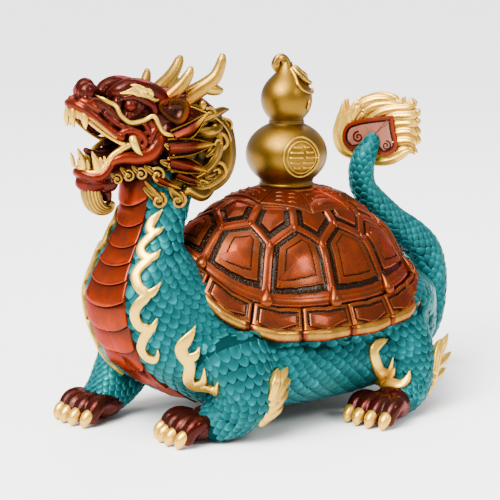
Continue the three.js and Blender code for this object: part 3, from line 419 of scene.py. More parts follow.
class Hide:
    """Scales laid over the skin in staggered rows, none too near one that lies there already."""

    def __init__(self, tree):
        self.tree, self.taken = tree, {}
        self.scale = scale_shape()
        self.random = np.random.default_rng(RANDOM_SEED)

    def nearest(self, p):
        """(distance, tip direction) of the nearest scale already laid."""
        cell = np.floor(p / CELL).astype(int)
        best, tip = math.inf, None
        for step in np.ndindex(3, 3, 3):
            for q, direction in self.taken.get(tuple(cell + step - 1), ()):
                distance = np.linalg.norm(p - q)
                if distance < best:
                    best, tip = distance, direction
        return best, tip

    def put(self, clay, near, normal, direction, size):
        """Lays one scale on the skin at a point, its tip towards the direction."""
        points, faces, tones = self.scale
        tip = unit(direction - normal * (normal @ direction))
        self.taken.setdefault(tuple(np.floor(near / CELL).astype(int)), []).append((near, tip))
        turn = 0.07 * self.random.standard_normal()
        side = np.cross(tip, normal)
        ahead = tip * math.cos(turn) + side * math.sin(turn)
        side = side * math.cos(turn) - tip * math.sin(turn)
        wobble = size * (1 + 0.05 * self.random.standard_normal())
        clay.add((near + (points * wobble) @ np.array([side, ahead, normal]), faces),
                 np.clip(tones + 0.07 * self.random.standard_normal(), 0, 1))

    def lay(self, clay, surface, places, width, keep):
        """Lays rows of scales on surface(places, angles), their tips towards growing places. width(place)
        is a scale's, and keep(place, angle, point) tells where there is one."""
        angles = np.linspace(0, 2 * np.pi, RING_POINTS)
        travelled, row, previous = math.inf, 0, None
        for place in places:
            ring = surface(np.full(RING_POINTS, place), angles)
            if previous is not None:
                travelled += np.linalg.norm(ring - previous, axis=1).mean()
            previous, size = ring, width(place)
            if travelled < size * PITCH:
                continue
            travelled, row = 0, row + 1
            lengths = np.concatenate([[0], np.cumsum(np.linalg.norm(np.diff(ring, axis=0), axis=1))])
            count = max(6, round(lengths[-1] / size))
            at = (np.arange(count) + 0.5 * (row % 2)) * lengths[-1] / count
            for a in np.interp(at, lengths, angles):
                p, q = surface(np.array([place, place + 0.05]), np.array([a, a]))
                if not keep(place, a, p):
                    continue
                near, normal, distance = nearest_on(self.tree, p)
                if distance < SKIN_REACH and self.nearest(near)[0] > size * ROOM:
                    self.put(clay, near, normal, q - p, size)

    def fill(self, clay, skin, size, bare):
        """Lays scales in the open patches that are left, each along its neighbour, where bare(point)
        is false."""
        vertices = list(skin.data.vertices)
        for i in self.random.permutation(len(vertices)):
            p = to_drawing(vertices[i].co)
            distance, tip = self.nearest(p)
            if tip is not None and distance > size * BARE and not bare(p):
                self.put(clay, p, np.array(vertices[i].normal), tip, size)


def limb_surface(stations):
    """surface(places, angles) of a limb's tube, for laying scales."""
    rows = smooth_rows(stations, LIMB_STEPS)
    along = unit(np.gradient(rows[:, :3], axis=0))
    across = unit(np.array([1.0, 0, 0]) - along * along[:, :1])
    deep = np.cross(along, across)
    index = np.arange(len(rows))

    def surface(places, angles):
        """Points on the tube at places along its stations and angles round it."""
        at = np.clip(np.asarray(places, float) * LIMB_STEPS, 0, len(rows) - 1)
        pick = lambda table: np.stack([np.interp(at, index, column) for column in table.T], -1)
        row, a, d = pick(rows), pick(across), pick(deep)
        wide, thick = row[:, 3] * np.cos(angles), row[:, 4] * np.sin(angles)
        return row[:, :3] + a * wide[:, None] + d * thick[:, None]
    return surface


def bare_of_shell(p):
    """True for a point that the shell leaves bare. At the front its cover is taken as narrower."""
    share, bearing = shell_place(p[None])
    reach, slack = (0.96, 0.3) if p[1] < 0 else (1.0, -0.5)
    above = p[2] > under_side(bearing, share)[0] + slack
    return not (share[0] < reach and above and not in_neck(p[None])[0])


def on_paw(p):
    """True for a point at a paw, which has no scales."""
    return p[2] < PAW_TOP and any(np.linalg.norm(p[:2] - np.array(place[:2])) < PAW_REACH
                                  for place in PAWS.values())


def make_scales(skin, belly, finish, width):
    """Scales in rows on the legs, the tail and the trunk, and between them where rows leave gaps."""
    hide = Hide(skin_tree(skin))
    for name, rows in LEGS.items():
        clay = Clay()
        last = len(rows) - 1
        hide.lay(clay, limb_surface(rows), np.arange(-0.2, last, 0.03),
                 lambda place: width * (1.12 - 0.32 * place / last),
                 lambda place, a, p: bare_of_shell(p) and not on_paw(p))
        clay.piece(f"scales_{name}", finish)
    clay = Clay()
    last = len(TAIL) - 1
    inside_bend = lambda p: p[1] < TAIL_BEND["back"] and TAIL_BEND["low"] < p[2] < TAIL_BEND["high"]
    hide.lay(clay, limb_surface(TAIL), np.arange(0.2, last, 0.03),
             lambda place: width * (1.1 - 0.32 * place / last), lambda place, a, p: not inside_bend(p))
    clay.piece("scales_tail", finish)
    clay = Clay()
    outside = lambda place, a: (
        min(a, 2 * np.pi - a) > belly_half(np.array(place)) + 0.03
        and not (place > BACK["first"] and np.pi * BACK["start"] < a < np.pi * BACK["end"]))
    hide.lay(clay, trunk_points, np.arange(1.0, len(TRUNK) - 1, 0.02),
             lambda place: width * (0.9 + 0.2 * min(1, place / 9)),
             lambda place, a, p: bare_of_shell(p) and outside(place, a))
    clay.piece("scales_trunk", finish)
    plates = skin_tree(belly)
    clay = Clay()
    at_throat = lambda p: p[2] > THROAT["low"] and p[1] < THROAT["back"]
    hide.fill(clay, skin, width, lambda p: (
        not bare_of_shell(p) or on_paw(p) or p[2] < SOLE_TOP or at_throat(p)
        or nearest_on(plates, p)[2] < BELLY_ROOM))
    clay.piece("scales_between", finish)


def make_belly(finish):
    """The lacquered belly band: plates that each rise to a lower edge and fold down in the middle."""
    steps, rise, shade = BELLY_PLATE.T
    span = (BELLY["last"] - BELLY["first"]) / BELLY["plates"]
    places = np.concatenate([BELLY["first"] + span * (plate + steps) for plate in range(BELLY["plates"])])
    lifts, tones = np.tile(rise, BELLY["plates"]), np.tile(shade, BELLY["plates"])
    u = np.sin(np.linspace(-1, 1, 41) * np.pi / 2)
    place = places[:, None] + BELLY["fold"] * (1 - u * u)
    angle = belly_half(places)[:, None] * u * 1.04
    edge = 1 - np.clip((np.abs(u) - 0.9) / 0.1, 0, 1) ** 2 * 1.6
    lift = np.where(edge > 0, (lifts[:, None] + 0.3) * edge, -1.5 + 0 * lifts[:, None]) - 0.1
    points = trunk_points(place.ravel(), angle.ravel(), lift.ravel())
    clay = Clay()
    # The plates' tones: painted shade at each step and towards the band's sides, a painted highlight near
    # each lower edge.
    clay.add((points, ring_faces(len(places), len(u), closed=False)),
             (tones[:, None] * (1 - 0.35 * np.abs(u) ** 3)).ravel())
    belly = clay.piece("belly_plates", finish)
    only(belly)
    solidify = belly.modifiers.new("Wall", "SOLIDIFY")
    solidify.thickness, solidify.offset = 1.2 * MM, -1
    bpy.ops.object.modifier_apply(modifier=solidify.name)
    return belly


# Shell

# A point has a bearing round the oval rim (0 is the animal's left, -90 the front) and a share of the
# way from the crown (0) to the rim (1).

SHELL = {"half_length": 78, "half_width": 61, "shift": -2, "crown": 110, "rim": 50.5, "front_rise": 30,
         "rear_rise": 10, "under_crown": 72, "rim_wall": 5, "costal_foot": 0.885}
# How far the dome has fallen, as [share, share of the height]
FALL = [[0, 0], [0.2, 0.012], [0.45, 0.11], [0.585, 0.24], [0.69, 0.37], [0.75, 0.45], [0.84, 0.65],
        [0.9, 0.79], [1, 1], [1.06, 1.1]]
FALL_CURVE = smooth_rows(FALL, 12)
RIM = {"shields": 18, "inner": 0.917, "corner": 1.03}
HALF_SHIELD = 180 / RIM["shields"]


def rim_top(bearing):
    """The rim's height, which rises over the neck and a little over the tail."""
    forward = -np.sin(bearing)
    return (SHELL["rim"] + SHELL["front_rise"] * np.maximum(0, forward) ** 7
            + SHELL["rear_rise"] * np.maximum(0, -forward) ** 1.5)


def shell_place(points):
    """(share, bearing in radians) of points over the shell's oval."""
    u, v = points[..., 0] / SHELL["half_width"], (points[..., 1] - SHELL["shift"]) / SHELL["half_length"]
    return np.hypot(u, v), np.arctan2(v, u)


def under_side(bearing, share):
    """The height of the shell's hollow underside."""
    inward = np.minimum(1, share / 0.86) ** 2
    return SHELL["under_crown"] * (1 - inward) + (rim_top(bearing) - SHELL["rim_wall"]) * inward


def dome(x, y, lift=0.0):
    """Points of the dome over x, y, lifted along its normal."""
    def height(x, y):
        """The dome's height over x, y."""
        share, bearing = shell_place(np.stack([x, y], -1))
        fall = np.interp(np.minimum(share, 1.0), FALL_CURVE[:, 0], FALL_CURVE[:, 1])
        return SHELL["crown"] + (rim_top(bearing) - SHELL["crown"]) * fall
    x, y = np.asarray(x, float), np.asarray(y, float)
    z, step = height(x, y), 0.4
    slope_x = (height(x + step, y) - height(x - step, y)) / (2 * step)
    slope_y = (height(x, y + step) - height(x, y - step)) / (2 * step)
    normal = unit(np.stack([-slope_x, -slope_y, np.ones_like(z)], -1))
    return np.stack([x, y, z], -1) + normal * np.asarray(lift, float)[..., None]


def shell_xy(bearing, share):
    """x and y of the place at a bearing in degrees and a share."""
    t = np.radians(bearing)
    return np.stack([SHELL["half_width"] * share * np.cos(t),
                     SHELL["shift"] + SHELL["half_length"] * share * np.sin(t)], -1)


def inset(corners, distance):
    """A flat outline moved inwards by a distance, its corners mitred."""
    back, ahead = np.roll(corners, 1, 0), np.roll(corners, -1, 0)
    first, second = unit(corners - back), unit(ahead - corners)
    first, second = (np.stack([-d[:, 1], d[:, 0]], -1) for d in (first, second))
    return corners + distance * (first + second) / (1 + (first * second).sum(1, keepdims=True))


def scute(clay, outline, profile, cuts=8, gilt=None):
    """One scute on the dome: rings at the profile's [inset, lift, tone], closed by a raised middle.
    Each side of its outline is cut in parts, and what is raised turns gold beyond the gilt share."""
    middle = outline.mean(0)
    flat = max(0.35, dome(*middle, 1.0)[2] - dome(*middle, 0.0)[2])
    outward = unit(middle - [0, SHELL["shift"]])
    stretch = lambda p, k: p + np.outer((p - middle) @ outward, outward) * (k - 1)
    opened = stretch(outline, 1 / flat)
    side = unit(np.roll(opened, -1, 0) - opened)
    room = np.abs((middle - opened)[:, 0] * side[:, 1] - (middle - opened)[:, 1] * side[:, 0]).min()
    narrow = min(1, 0.86 * room / profile[-1][0])
    along = (np.arange(cuts) / cuts)[None, :, None]
    rings = []
    for distance, _, _ in profile:
        ring = stretch(inset(opened, distance * narrow), flat)
        rings.append((ring[:, None] * (1 - along) + np.roll(ring, -1, 0)[:, None] * along).reshape(-1, 2))
    last, centre = rings[-1], rings[-1].mean(0)
    rings += [centre + (last - centre) * share for share in (0.66, 0.33)]
    lifts = [row[1] for row in profile] + [profile[-1][1] + 0.1, profile[-1][1] + 0.2]
    tones = [row[2] for row in profile] + [profile[-1][2]] * 2
    count, total = len(last), len(last) * len(rings)
    xy = np.concatenate(rings)
    points = dome(xy[:, 0], xy[:, 1], np.repeat(lifts, count))
    points = np.concatenate([points, dome(centre[:1], centre[1:], np.array([lifts[-1] + 0.05]))])
    k = np.arange(count)
    cap = np.stack([total - count + k, total - count + (k + 1) % count, np.full(count, total)], -1)
    tones = np.append(np.repeat(tones, count), tones[-1])
    if gilt:
        gold = np.clip((shell_place(points)[0] - gilt) / 0.045, 0, 1) * (tones > 0.58)
        tones = tones + (0.98 - tones) * gold
    clay.add((points, [ring_faces(len(rings), count), cap]), tones)


# The profiles of the shell's plates are [inset, lift, tone]. Tones up to 0.2 are a stippled groove,
# 0.3 is an engraved line, 0.5 a panel, 0.8 a rib and 1 the gold edge.
PANEL = [[0, 0.45, 0.8], [1.5, 0.4, 0.8], [1.9, 0.2, 0.6], [2.15, -0.75, 0.1], [2.4, -0.9, 0.04],
         [4.3, -0.9, 0.08], [4.55, 0.2, 0.3], [4.8, 0.6, 0.78], [5.4, 0.65, 0.6], [7.6, 0.7, 0.55],
         [7.8, 0.2, 0.2], [8.1, 0.2, 0.2], [8.35, 0.9, 0.7], [9.2, 1.0, 0.5]]
KITE = [row for row in PANEL if row[0] <= 5.4]
SHIELD = [[0, -1.4, 0.0], [0.4, 0.0, 0.1], [0.7, 1.2, 0.65], [1.2, 1.6, 0.8], [2.9, 1.7, 0.65],
          [3.15, 1.0, 0.15], [3.4, 0.8, 0.03], [4.3, 0.8, 0.08], [4.5, 1.3, 0.3], [4.8, 1.75, 0.44],
          [5.6, 1.9, 0.4]]
BOSS = [[0, 0.45, 0.75], [0.25, 0.15, 0.25], [0.5, 0.2, 0.25], [0.75, 0.75, 0.8], [1.1, 0.85, 0.75]]
BOSS_RADIUS = 1.9
CREASED = [[0, 0.2, 0.1], [0.25, 0.8, 0.4], [0.6, 1.05, 0.8], [1.4, 1.1, 0.6]]
BAR = [[0, 1.0, 0.0], [0.25, 1.45, 0.3], [0.5, 1.55, 0.75]]
# A bud's [share, lift, half width, half depth], and the crown plate's inner and outer radius with its bars
BUD = [[0.918, 1.0, 2.6, 1.4], [0.908, 1.5, 3.2, 2.0], [0.893, 1.6, 2.9, 2.0], [0.875, 1.4, 1.8, 1.4],
       [0.855, 0.9, 0.35, 0.4]]
CROWN = {"facets": 8, "half_turn": 22.5, "hole": 12, "radius": 33, "bar_rows": (18.5, 22.5, 26.5),
         "bar_half_width": 0.9, "bar_half_length": 5.2}
# Corners of the large scutes: the shares where the rows of scutes meet, and half a scute's turn. The
# shields are gold beyond the gilt share.
TOP_SHARE, LOW_SHARE, HIGH_SHARE = 0.43, 0.69, 0.585
HALF_TURN = 15
GILT_SHARE = 0.985


def around(count):
    """As many bearings in degrees, evenly spread."""
    return [k * 360 / count for k in range(count)]


def make_shell(finish):
    """The shell: large scutes with a boss at each corner, kites above them, buds at their feet, the
    rim's shields, and plain sheets that close the gaps between them."""
    clay = Clay()
    corners = lambda *pairs: np.array([shell_xy(*pair) for pair in pairs])
    foot, top = SHELL["costal_foot"], RIM["inner"]
    for b in around(12):
        right, left, next_scute = b - HALF_TURN, b + HALF_TURN, b + 2 * HALF_TURN
        edge = [(bearing, foot) for bearing in np.linspace(right, left, 5)]
        scute(clay, corners(*edge, (left, LOW_SHARE), (b, HIGH_SHARE), (right, LOW_SHARE)), PANEL)
        scute(clay, corners((b, TOP_SHARE), (b, HIGH_SHARE), (left, LOW_SHARE), (next_scute, HIGH_SHARE),
                            (next_scute, TOP_SHARE)), KITE)
        for bearing, share in ((b, HIGH_SHARE), (left, LOW_SHARE)):
            ring = np.radians(around(10))
            outline = shell_xy(bearing, share) + BOSS_RADIUS * np.stack([np.cos(ring), np.sin(ring)], -1)
            scute(clay, outline, BOSS, cuts=2)
        rows = [[*dome(*shell_xy(left, share), lift), *girth] for share, lift, *girth in BUD]
        t = math.radians(left)
        clay.add(loft(rows, sides=14, wide=(-math.sin(t), math.cos(t), 0), caps=(0.5, 0.6)), 0.75)
    for b in around(RIM["shields"]):
        left, right = b + HALF_SHIELD, b - HALF_SHIELD
        scute(clay, corners((left, top), (b, top), (right, top), (right, 1), (b, RIM["corner"]),
                            (left, 1)),
              SHIELD, gilt=GILT_SHARE)
    bearings = np.arange(0, 360, 1.0)
    sheet(clay, bearings, [(foot - 0.004, 0.3, 0.7), (foot + 0.006, 0.6, 0.85), (foot + 0.018, 0.5, 0.7),
                           (foot + 0.026, 0.0, 0.4), (top - 0.004, -0.3, 0.15),
                           (top + 0.008, -1.0, 0.05)])
    sheet(clay, bearings[::3], [(0.03, 0.3, 0.6), (0.2, 0.3, 0.6), (TOP_SHARE, 0.2, 0.6),
                                (0.46, -0.5, 0.3)])
    crown(clay)
    rim_wall(clay, bearings)
    return clay.piece("shell_dressed", finish, angle=50)


def crown(clay):
    """The eight creased facets on the crown, each with three rows of raised trigram bars."""
    at = lambda turn, reach: [reach * math.cos(math.radians(turn)), reach * math.sin(math.radians(turn))]
    hole, radius = CROWN["hole"], CROWN["radius"]
    half, long = CROWN["bar_half_width"], CROWN["bar_half_length"]
    for k, b in enumerate(around(CROWN["facets"])):
        right, left = b - CROWN["half_turn"], b + CROWN["half_turn"]
        facet = [at(right, hole), at(right, radius), at(left, radius), at(left, hole)]
        scute(clay, np.array(facet), CREASED, cuts=6)
        c, s = math.cos(math.radians(b)), math.sin(math.radians(b))
        for row, middle in enumerate(CROWN["bar_rows"]):
            broken = (k >> row) & 1
            for start, end in ((-long, -half), (half, long)) if broken else ((-long, long),):
                bar = [[middle - half, start], [middle + half, start], [middle + half, end],
                       [middle - half, end]]
                scute(clay, np.array([[x * c - y * s, x * s + y * c] for x, y in bar]), BAR, cuts=3)
    plate = [[0, 0, 107, 15.5], [0, 0, 110.1, 15.5], [0, 0, 110.45, 15]]
    clay.add(loft(plate, sides=64, steps=1, caps=(0, 0)), 0.8)


# The rim's rolled edge: [share, lift, tone] over the dome, then [height over the rim, how far out,
# tone] down its wall, whose lowest rows are toned dark as a painted shadow under the roll, then the
# shares of the hollow under the shell
RIM_LIP = ((0.972, 1.1, 0.62), (0.99, 1.35, 0.8))
RIM_ROLL = ((0.9, 0.5, 0.94), (0.3, 1.2, 1.0), (-0.9, 1.6, 1.0), (-2.4, 1.5, 1.0), (-3.4, 1.0, 0.9),
            (-4.4, 0.2, 0.3), (-5.0, -1.5, 0.1))
RIM_HOLLOW = (0.84, 0.5, 0.05)
# A notch's depths cut it in, and its dark share darkens its tones: patina with painted shade.
NOTCH = {"half_turn": 0.9, "lip_depth": 2.6, "wall_depth": 1.3, "dark": 0.9}


def rim_wall(clay, bearings):
    """The rolled edge under the shields, notched between each two, and the hollow under the shell."""
    turn = 2 * HALF_SHIELD
    between = np.exp(-(((bearings / turn) % 1 - 0.5) * turn / NOTCH["half_turn"]) ** 2)
    # Darker in the notches: patina with painted shade.
    dark = 1 - NOTCH["dark"] * between
    rows, tones = [], []
    for share, lift, tone in RIM_LIP:
        xy = shell_xy(bearings, rim_wave(bearings) * share)
        rows.append(dome(xy[:, 0], xy[:, 1], lift - NOTCH["lip_depth"] * between))
        tones.append(tone * dark)
    wave = shell_xy(bearings, rim_wave(bearings))
    for drop, out, tone in RIM_ROLL:
        reach = out - NOTCH["wall_depth"] * between
        xy = wave + unit(wave - [0, SHELL["shift"]]) * reach[:, None]
        rows.append(np.column_stack([xy, rim_top(np.radians(bearings)) + drop]))
        tones.append(tone * dark)
    # The hollow under the shell is toned dark: painted shade.
    for share in RIM_HOLLOW:
        height = under_side(np.radians(bearings), np.full(len(bearings), share))
        rows.append(np.column_stack([shell_xy(bearings, share), height]))
        tones.append(np.full(len(bearings), 0.1))
    clay.add((np.concatenate(rows), ring_faces(len(rows), len(bearings))), np.concatenate(tones))


def rim_wave(bearings):
    """The rim's share at each bearing: out at the middle of a shield, in between two."""
    t = np.abs((bearings / HALF_SHIELD) % 2 - 1)
    return 1 + (RIM["corner"] - 1) * t


def sheet(clay, bearings, bands):
    """A band of dome surface through rows of (share, lift, tone)."""
    points, tones = [], []
    for share, lift, tone in bands:
        xy = shell_xy(bearings, share)
        points.append(dome(xy[:, 0], xy[:, 1], np.full(len(xy), lift)))
        tones.append(np.full(len(xy), tone))
    clay.add((np.concatenate(points), ring_faces(len(bands), len(bearings))), np.concatenate(tones))


# Gourd

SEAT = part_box("gourd")[0].z / MM
LOWER = {"radius": 20.25, "middle": SEAT + 15.85, "rise": 16.48}
UPPER = {"radius": 12.75, "middle": SEAT + 43, "rise": 13}
# [radius, height over the seat] of the rings at the waist, and over the upper bulb's middle at the top
WAIST = [[8.7, 31], [8.95, 31.25], [8.95, 31.6], [8.3, 31.75], [8.3, 31.95], [8.75, 32.1], [8.75, 32.4],
         [8.4, 32.6]]
PEAR_TOP = [[8.3, 10], [6.9, 11.4], [5.4, 12.9], [4.3, 14.3], [3.5, 15.7], [2.9, 17], [2.6, 18],
            [0.3, 18.4]]


def gourd_profile():
    """[radius, height] from the foot to the top."""
    arc = lambda bulb, start, end, steps: [
        [bulb["radius"] * math.cos(t), bulb["middle"] + bulb["rise"] * math.sin(t)]
        for t in np.radians(np.linspace(start, end, steps))]
    foot = [[0.4, SEAT], [13.1, SEAT], [13.5, SEAT + 0.4], [13.6, SEAT + 1.2], [13.2, SEAT + 1.8]]
    waist = [[radius, SEAT + height] for radius, height in WAIST]
    top = [[radius, UPPER["middle"] + height] for radius, height in PEAR_TOP]
    return foot + arc(LOWER, -48, 64, 18) + waist + arc(UPPER, -46, 42, 13) + top


GOURD_PROFILE = gourd_profile()


def gourd_point(bearing, z, lift=0.0):
    """A point on the gourd's skin at a bearing in degrees and a height, lifted off it."""
    radii, heights = np.array(GOURD_PROFILE[3:]).T
    radius = np.interp(z, heights, radii)
    step = 0.5
    slope = (np.interp(z + step, heights, radii) - np.interp(z - step, heights, radii)) / (2 * step)
    tilt = 1 / math.hypot(1, slope)
    t = math.radians(bearing)
    reach = radius + lift * tilt
    return np.array([reach * math.cos(t), reach * math.sin(t), z - lift * slope * tilt])


def make_gourd(finish):
    """A disc's edge is drawn up through the profile, ring by ring."""
    bpy.ops.object.select_all(action="DESELECT")
    (radius, height), *rest = GOURD_PROFILE
    bpy.ops.mesh.primitive_circle_add(vertices=96, radius=radius * MM, fill_type="NGON",
                                      location=(0, SHIFT * MM, height * MM))
    gourd = bpy.context.object
    gourd.name = gourd.data.name = "gourd_bulbs"
    bpy.ops.object.mode_set(mode="EDIT")
    bpy.ops.mesh.select_mode(type="EDGE")
    bpy.ops.mesh.select_all(action="SELECT")
    for wide, tall in rest:
        bpy.ops.mesh.extrude_region_move(TRANSFORM_OT_translate={"value": (0, 0, (tall - height) * MM)})
        share = wide / radius
        bpy.ops.transform.resize(value=(share, share, 1), center_override=(0, SHIFT * MM, tall * MM))
        radius, height = wide, tall
    bpy.ops.object.mode_set(mode="OBJECT")
    bpy.ops.object.transform_apply(location=True, rotation=True, scale=True)
    return dressed(gourd, finish, angle=40)


MEDALLION = {"bearing": -21.3, "radius": 9.6, "rows": 5, "pitch": 2.5, "reach": 6.6}


def make_medallion(finish):
    """A double ring with rows of shallow strokes, which are no letters, raised on the lower bulb."""
    clay = Clay()
    turn = lambda across: MEDALLION["bearing"] + math.degrees(across / LOWER["radius"])
    at = lambda across, up, lift: gourd_point(turn(across), LOWER["middle"] + up, lift)
    facing = at(0, 0, 1) - at(0, 0, 0)
    for radius, girth in ((MEDALLION["radius"], 0.65), (MEDALLION["radius"] - 1.9, 0.4)):
        loop = [[*at(radius * math.cos(t), radius * math.sin(t), 0.15), girth, girth]
                for t in np.linspace(0, 2 * math.pi, 49)]
        clay.add(loft(loop, sides=8, steps=1, wide=facing, caps=(0, 0)), 0.8)
    random = np.random.default_rng(RANDOM_SEED)
    for row in range(MEDALLION["rows"]):
        up = MEDALLION["pitch"] * ((MEDALLION["rows"] - 1) / 2 - row)
        reach = math.sqrt(MEDALLION["reach"] ** 2 - up ** 2)
        cut = random.uniform(-0.25, 0.25) * reach
        for start, end in ((-reach, cut - 0.9), (cut + 0.9, reach)):
            stroke = [[*at(a, up, 0.1), 0.45, 0.62] for a in np.linspace(start, end, 6)]
            clay.add(loft(stroke, sides=8, steps=1, wide=facing), 0.85)
    return clay.piece("gourd_medallion", finish)


# Over the upper bulb's middle: the hooked stem's stations, folds of the rolled leaf as their path of
# [bearing, height, lift] with their girth, and the tendril's path of [bearing, height]
STEM = [[0, 0, 15, 3.3, 3.3], [-0.3, -0.3, 17.4, 2.6, 2.5], [-1.1, -1.2, 19.4, 2.2, 2.3],
        [-2.3, -2.5, 19.8, 2.1, 2.3], [-3.2, -3.5, 18.4, 2.1, 2.3], [-3.5, -3.8, 16.2, 2.2, 2.4],
        [-3.2, -3.5, 14.2, 1.5, 1.6]]
LEAF_FOLDS = [
    ([(-16, 14.7, 0.3), (-11.6, 10.7, 0.4), (-14, 7.4, 0.4), (-4, 4.8, 0.4), (14, 3.4, 0.4),
      (34, 3.2, 0.4), (50, 4.5, 0.3)], 0.95),
    ([(0, 15, 0.6), (4, 12, 1.1), (14, 9, 1.3), (32, 7.4, 1.2), (50, 7.6, 0.8)], 1.3),
    ([(22, 15, 0.8), (26, 12.6, 1.5), (38, 10.6, 1.6), (54, 9.8, 1.0)], 1.4),
    ([(48, 15.4, 0.6), (52, 13.4, 1.3), (60, 11.8, 1.2)], 1.2),
    ([(8, 14.6, 0.4), (20, 10.6, 1.0), (40, 9, 1.2), (56, 9, 0.8)], 0.8),
]
TENDRIL = [(14, -0.6), (11, -2.6), (12, -4.4)]


def make_vine(finish):
    """The gourd's hooked stem with its knob, the rolled leaf on the upper bulb and its tendril."""
    clay = Clay()
    base = UPPER["middle"]
    stem = [[x, y, base + z, *girth] for x, y, z, *girth in STEM]
    clay.add(loft(stem, sides=20, ribs=(5, 0.08), caps=(0, 0.8)), 0.75)
    for path, girth in LEAF_FOLDS:
        rows = [[*gourd_point(bearing, base + up, lift), girth, girth] for bearing, up, lift in path]
        clay.add(loft(rows, sides=14, steps=6, ribs=(3, 0.08)), 0.85)
    rows = [[*gourd_point(bearing, base + up, 0.5), 0.8 - 0.1 * i, 0.7]
            for i, (bearing, up) in enumerate(TENDRIL)]
    clay.add(loft(rows, sides=10, steps=6), 0.85)
    return clay.piece("gourd_vine", finish)


# Flames and tufts that are raised on the skin

# A ribbon's section from edge to edge, as [across, out, tone]
RIBBON_SECTION = np.array([[-1, -0.8, 0.0], [-1, 0.75, 0.45], [-0.82, 1.0, 0.9], [-0.4, 1.12, 1.0],
                           [0.4, 1.12, 1.0], [0.82, 1.0, 0.9], [1, 0.75, 0.45], [1, -0.8, 0.0]])


def ribbon(clay, tree, stations, thick=1.3, tone=0.7, under=0.9, calm=3):
    """A flat raised band through [x, y, z, half width] stations, laid on the skin and evened out in as
    many rounds as calm says. Its middle lies the length under above the skin."""
    rows = smooth_rows(stations, 6)
    at, out = (np.array(part) for part in zip(*(nearest_on(tree, row[:3])[:2] for row in rows)))
    for _ in range(calm):
        out[1:-1] = unit(out[:-2] + out[1:-1] + out[2:])
    for _ in range(calm - 1):
        at[1:-1] = (at[:-2] + 2 * at[1:-1] + at[2:]) / 4
    side = unit(np.cross(unit(np.gradient(at, axis=0)), out))
    taper = np.clip(rows[:, 3] / 1.2, 0.45, 1)
    rings = (at[:, None] + side[:, None] * (RIBBON_SECTION[None, :, :1] * rows[:, 3][:, None, None])
             + out[:, None] * (under + RIBBON_SECTION[None, :, 1:2] * thick * taper[:, None, None]))
    tones = np.tile(RIBBON_SECTION[:, 2], len(rows)) * tone / 0.7
    clay.add(closed_skin(rings), np.append(tones, [0.6, 0.6]))


# Flames: the plane that they are mirrored about, the wavy stroke and its hooks, as [x, y, z, half width]
FLAMES = [
    (-7, [[8, -88, 108.6, 0.3], [6.3, -92.3, 104, 2], [6.3, -94.5, 100.5, 2.1], [7.9, -93.5, 97.8, 2],
          [6.8, -96.8, 94.8, 2], [6.2, -99.7, 91.8, 2.1], [8.1, -99.8, 88.4, 2.1], [11.2, -98.8, 87, 2.1],
          [9.5, -102.5, 83.8, 2.2], [9.2, -105.6, 80, 2.3], [11.6, -105, 74.6, 2.3],
          [14.6, -103.4, 71.6, 2.3], [11.7, -106.1, 66.9, 2.3], [11.1, -107.6, 62.3, 2.3],
          [12.2, -105.5, 57.5, 2.3], [15.8, -103.7, 55.7, 2.3], [13.5, -104.5, 51.5, 2.2],
          [10.6, -103.2, 46.6, 2.1], [11.3, -101, 42.1, 2.1], [14.8, -99.5, 40.8, 1.9],
          [16.1, -98.1, 43.4, 1], [16.7, -98.6, 46.4, 0.3]],
     [[[7.2, -94.4, 97.4, 2], [9.2, -91.9, 98.7, 1.6], [11.2, -90, 101.4, 0.3]],
      [[10.3, -99.6, 86.8, 2], [12.7, -96.8, 88.3, 1.7], [14, -94.8, 91.5, 0.3]],
      [[13.5, -104.3, 71.1, 2.2], [16.4, -101.4, 73, 1.8], [16.8, -97.4, 76.7, 0.3]],
      [[14.2, -104.5, 55.1, 2.2], [16.4, -101.8, 56.7, 1.8], [17.7, -100.2, 61.1, 0.3]]]),
    (-2, [[26.7, -85.3, 56.3, 0.3], [25.4, -88.2, 51.4, 2.2], [22.9, -90.3, 47.5, 2.9],
          [23.6, -89.5, 43.3, 2.8], [24.5, -86.3, 39.6, 2.6], [22.1, -84.2, 34.1, 2.6],
          [22.7, -81.6, 29.7, 2.6], [26.6, -80.6, 27.5, 2.5], [34, -78.5, 25, 1.8],
          [38.4, -78.5, 32, 0.3]],
     [[[24.4, -88.6, 41.8, 2.4], [27.4, -85.7, 42.8, 1.8], [29, -84.7, 46.5, 0.3]],
      [[22.6, -82.1, 30.5, 2.4], [26.6, -79.8, 32, 1.8], [31.4, -81.6, 38.1, 0.3]]]),
    (0, [[52.8, 16.4, 38.1, 0.3], [53.1, 9.3, 37.2, 2.2], [52, 4.1, 33.9, 2.8], [50.6, 7.1, 28.2, 2.8],
         [48.9, 14.1, 23.7, 2.6], [47.2, 16, 18.5, 2.5], [51.7, 17, 16.1, 2.5], [57.5, 17.1, 16.9, 2.4],
         [62, 17.9, 17.4, 2.2], [62.9, 21.7, 19.4, 1.7], [61.9, 24.1, 23.3, 0.3]],
     [[[50, 10, 26.6, 2.4], [48.9, 18.4, 25, 1.9], [53.3, 18.3, 30.1, 0.3]],
      [[46.1, 22.4, 15.2, 2.4], [54.6, 19.2, 19.8, 1.9], [56.3, 20.4, 24.7, 0.3]]]),
]


def make_flames(skin, finish):
    """The gilt flames, each stroke and its hooks laid on both sides."""
    tree = skin_tree(skin)
    clay = Clay()
    for middle, stroke, hooks in FLAMES:
        for side in SIDES:
            for stations in [stroke, *hooks]:
                ribbon(clay, tree, [[middle + side * (x - middle), y, z, w] for x, y, z, w in stations])
    return clay.piece("flames", finish, angle=40)


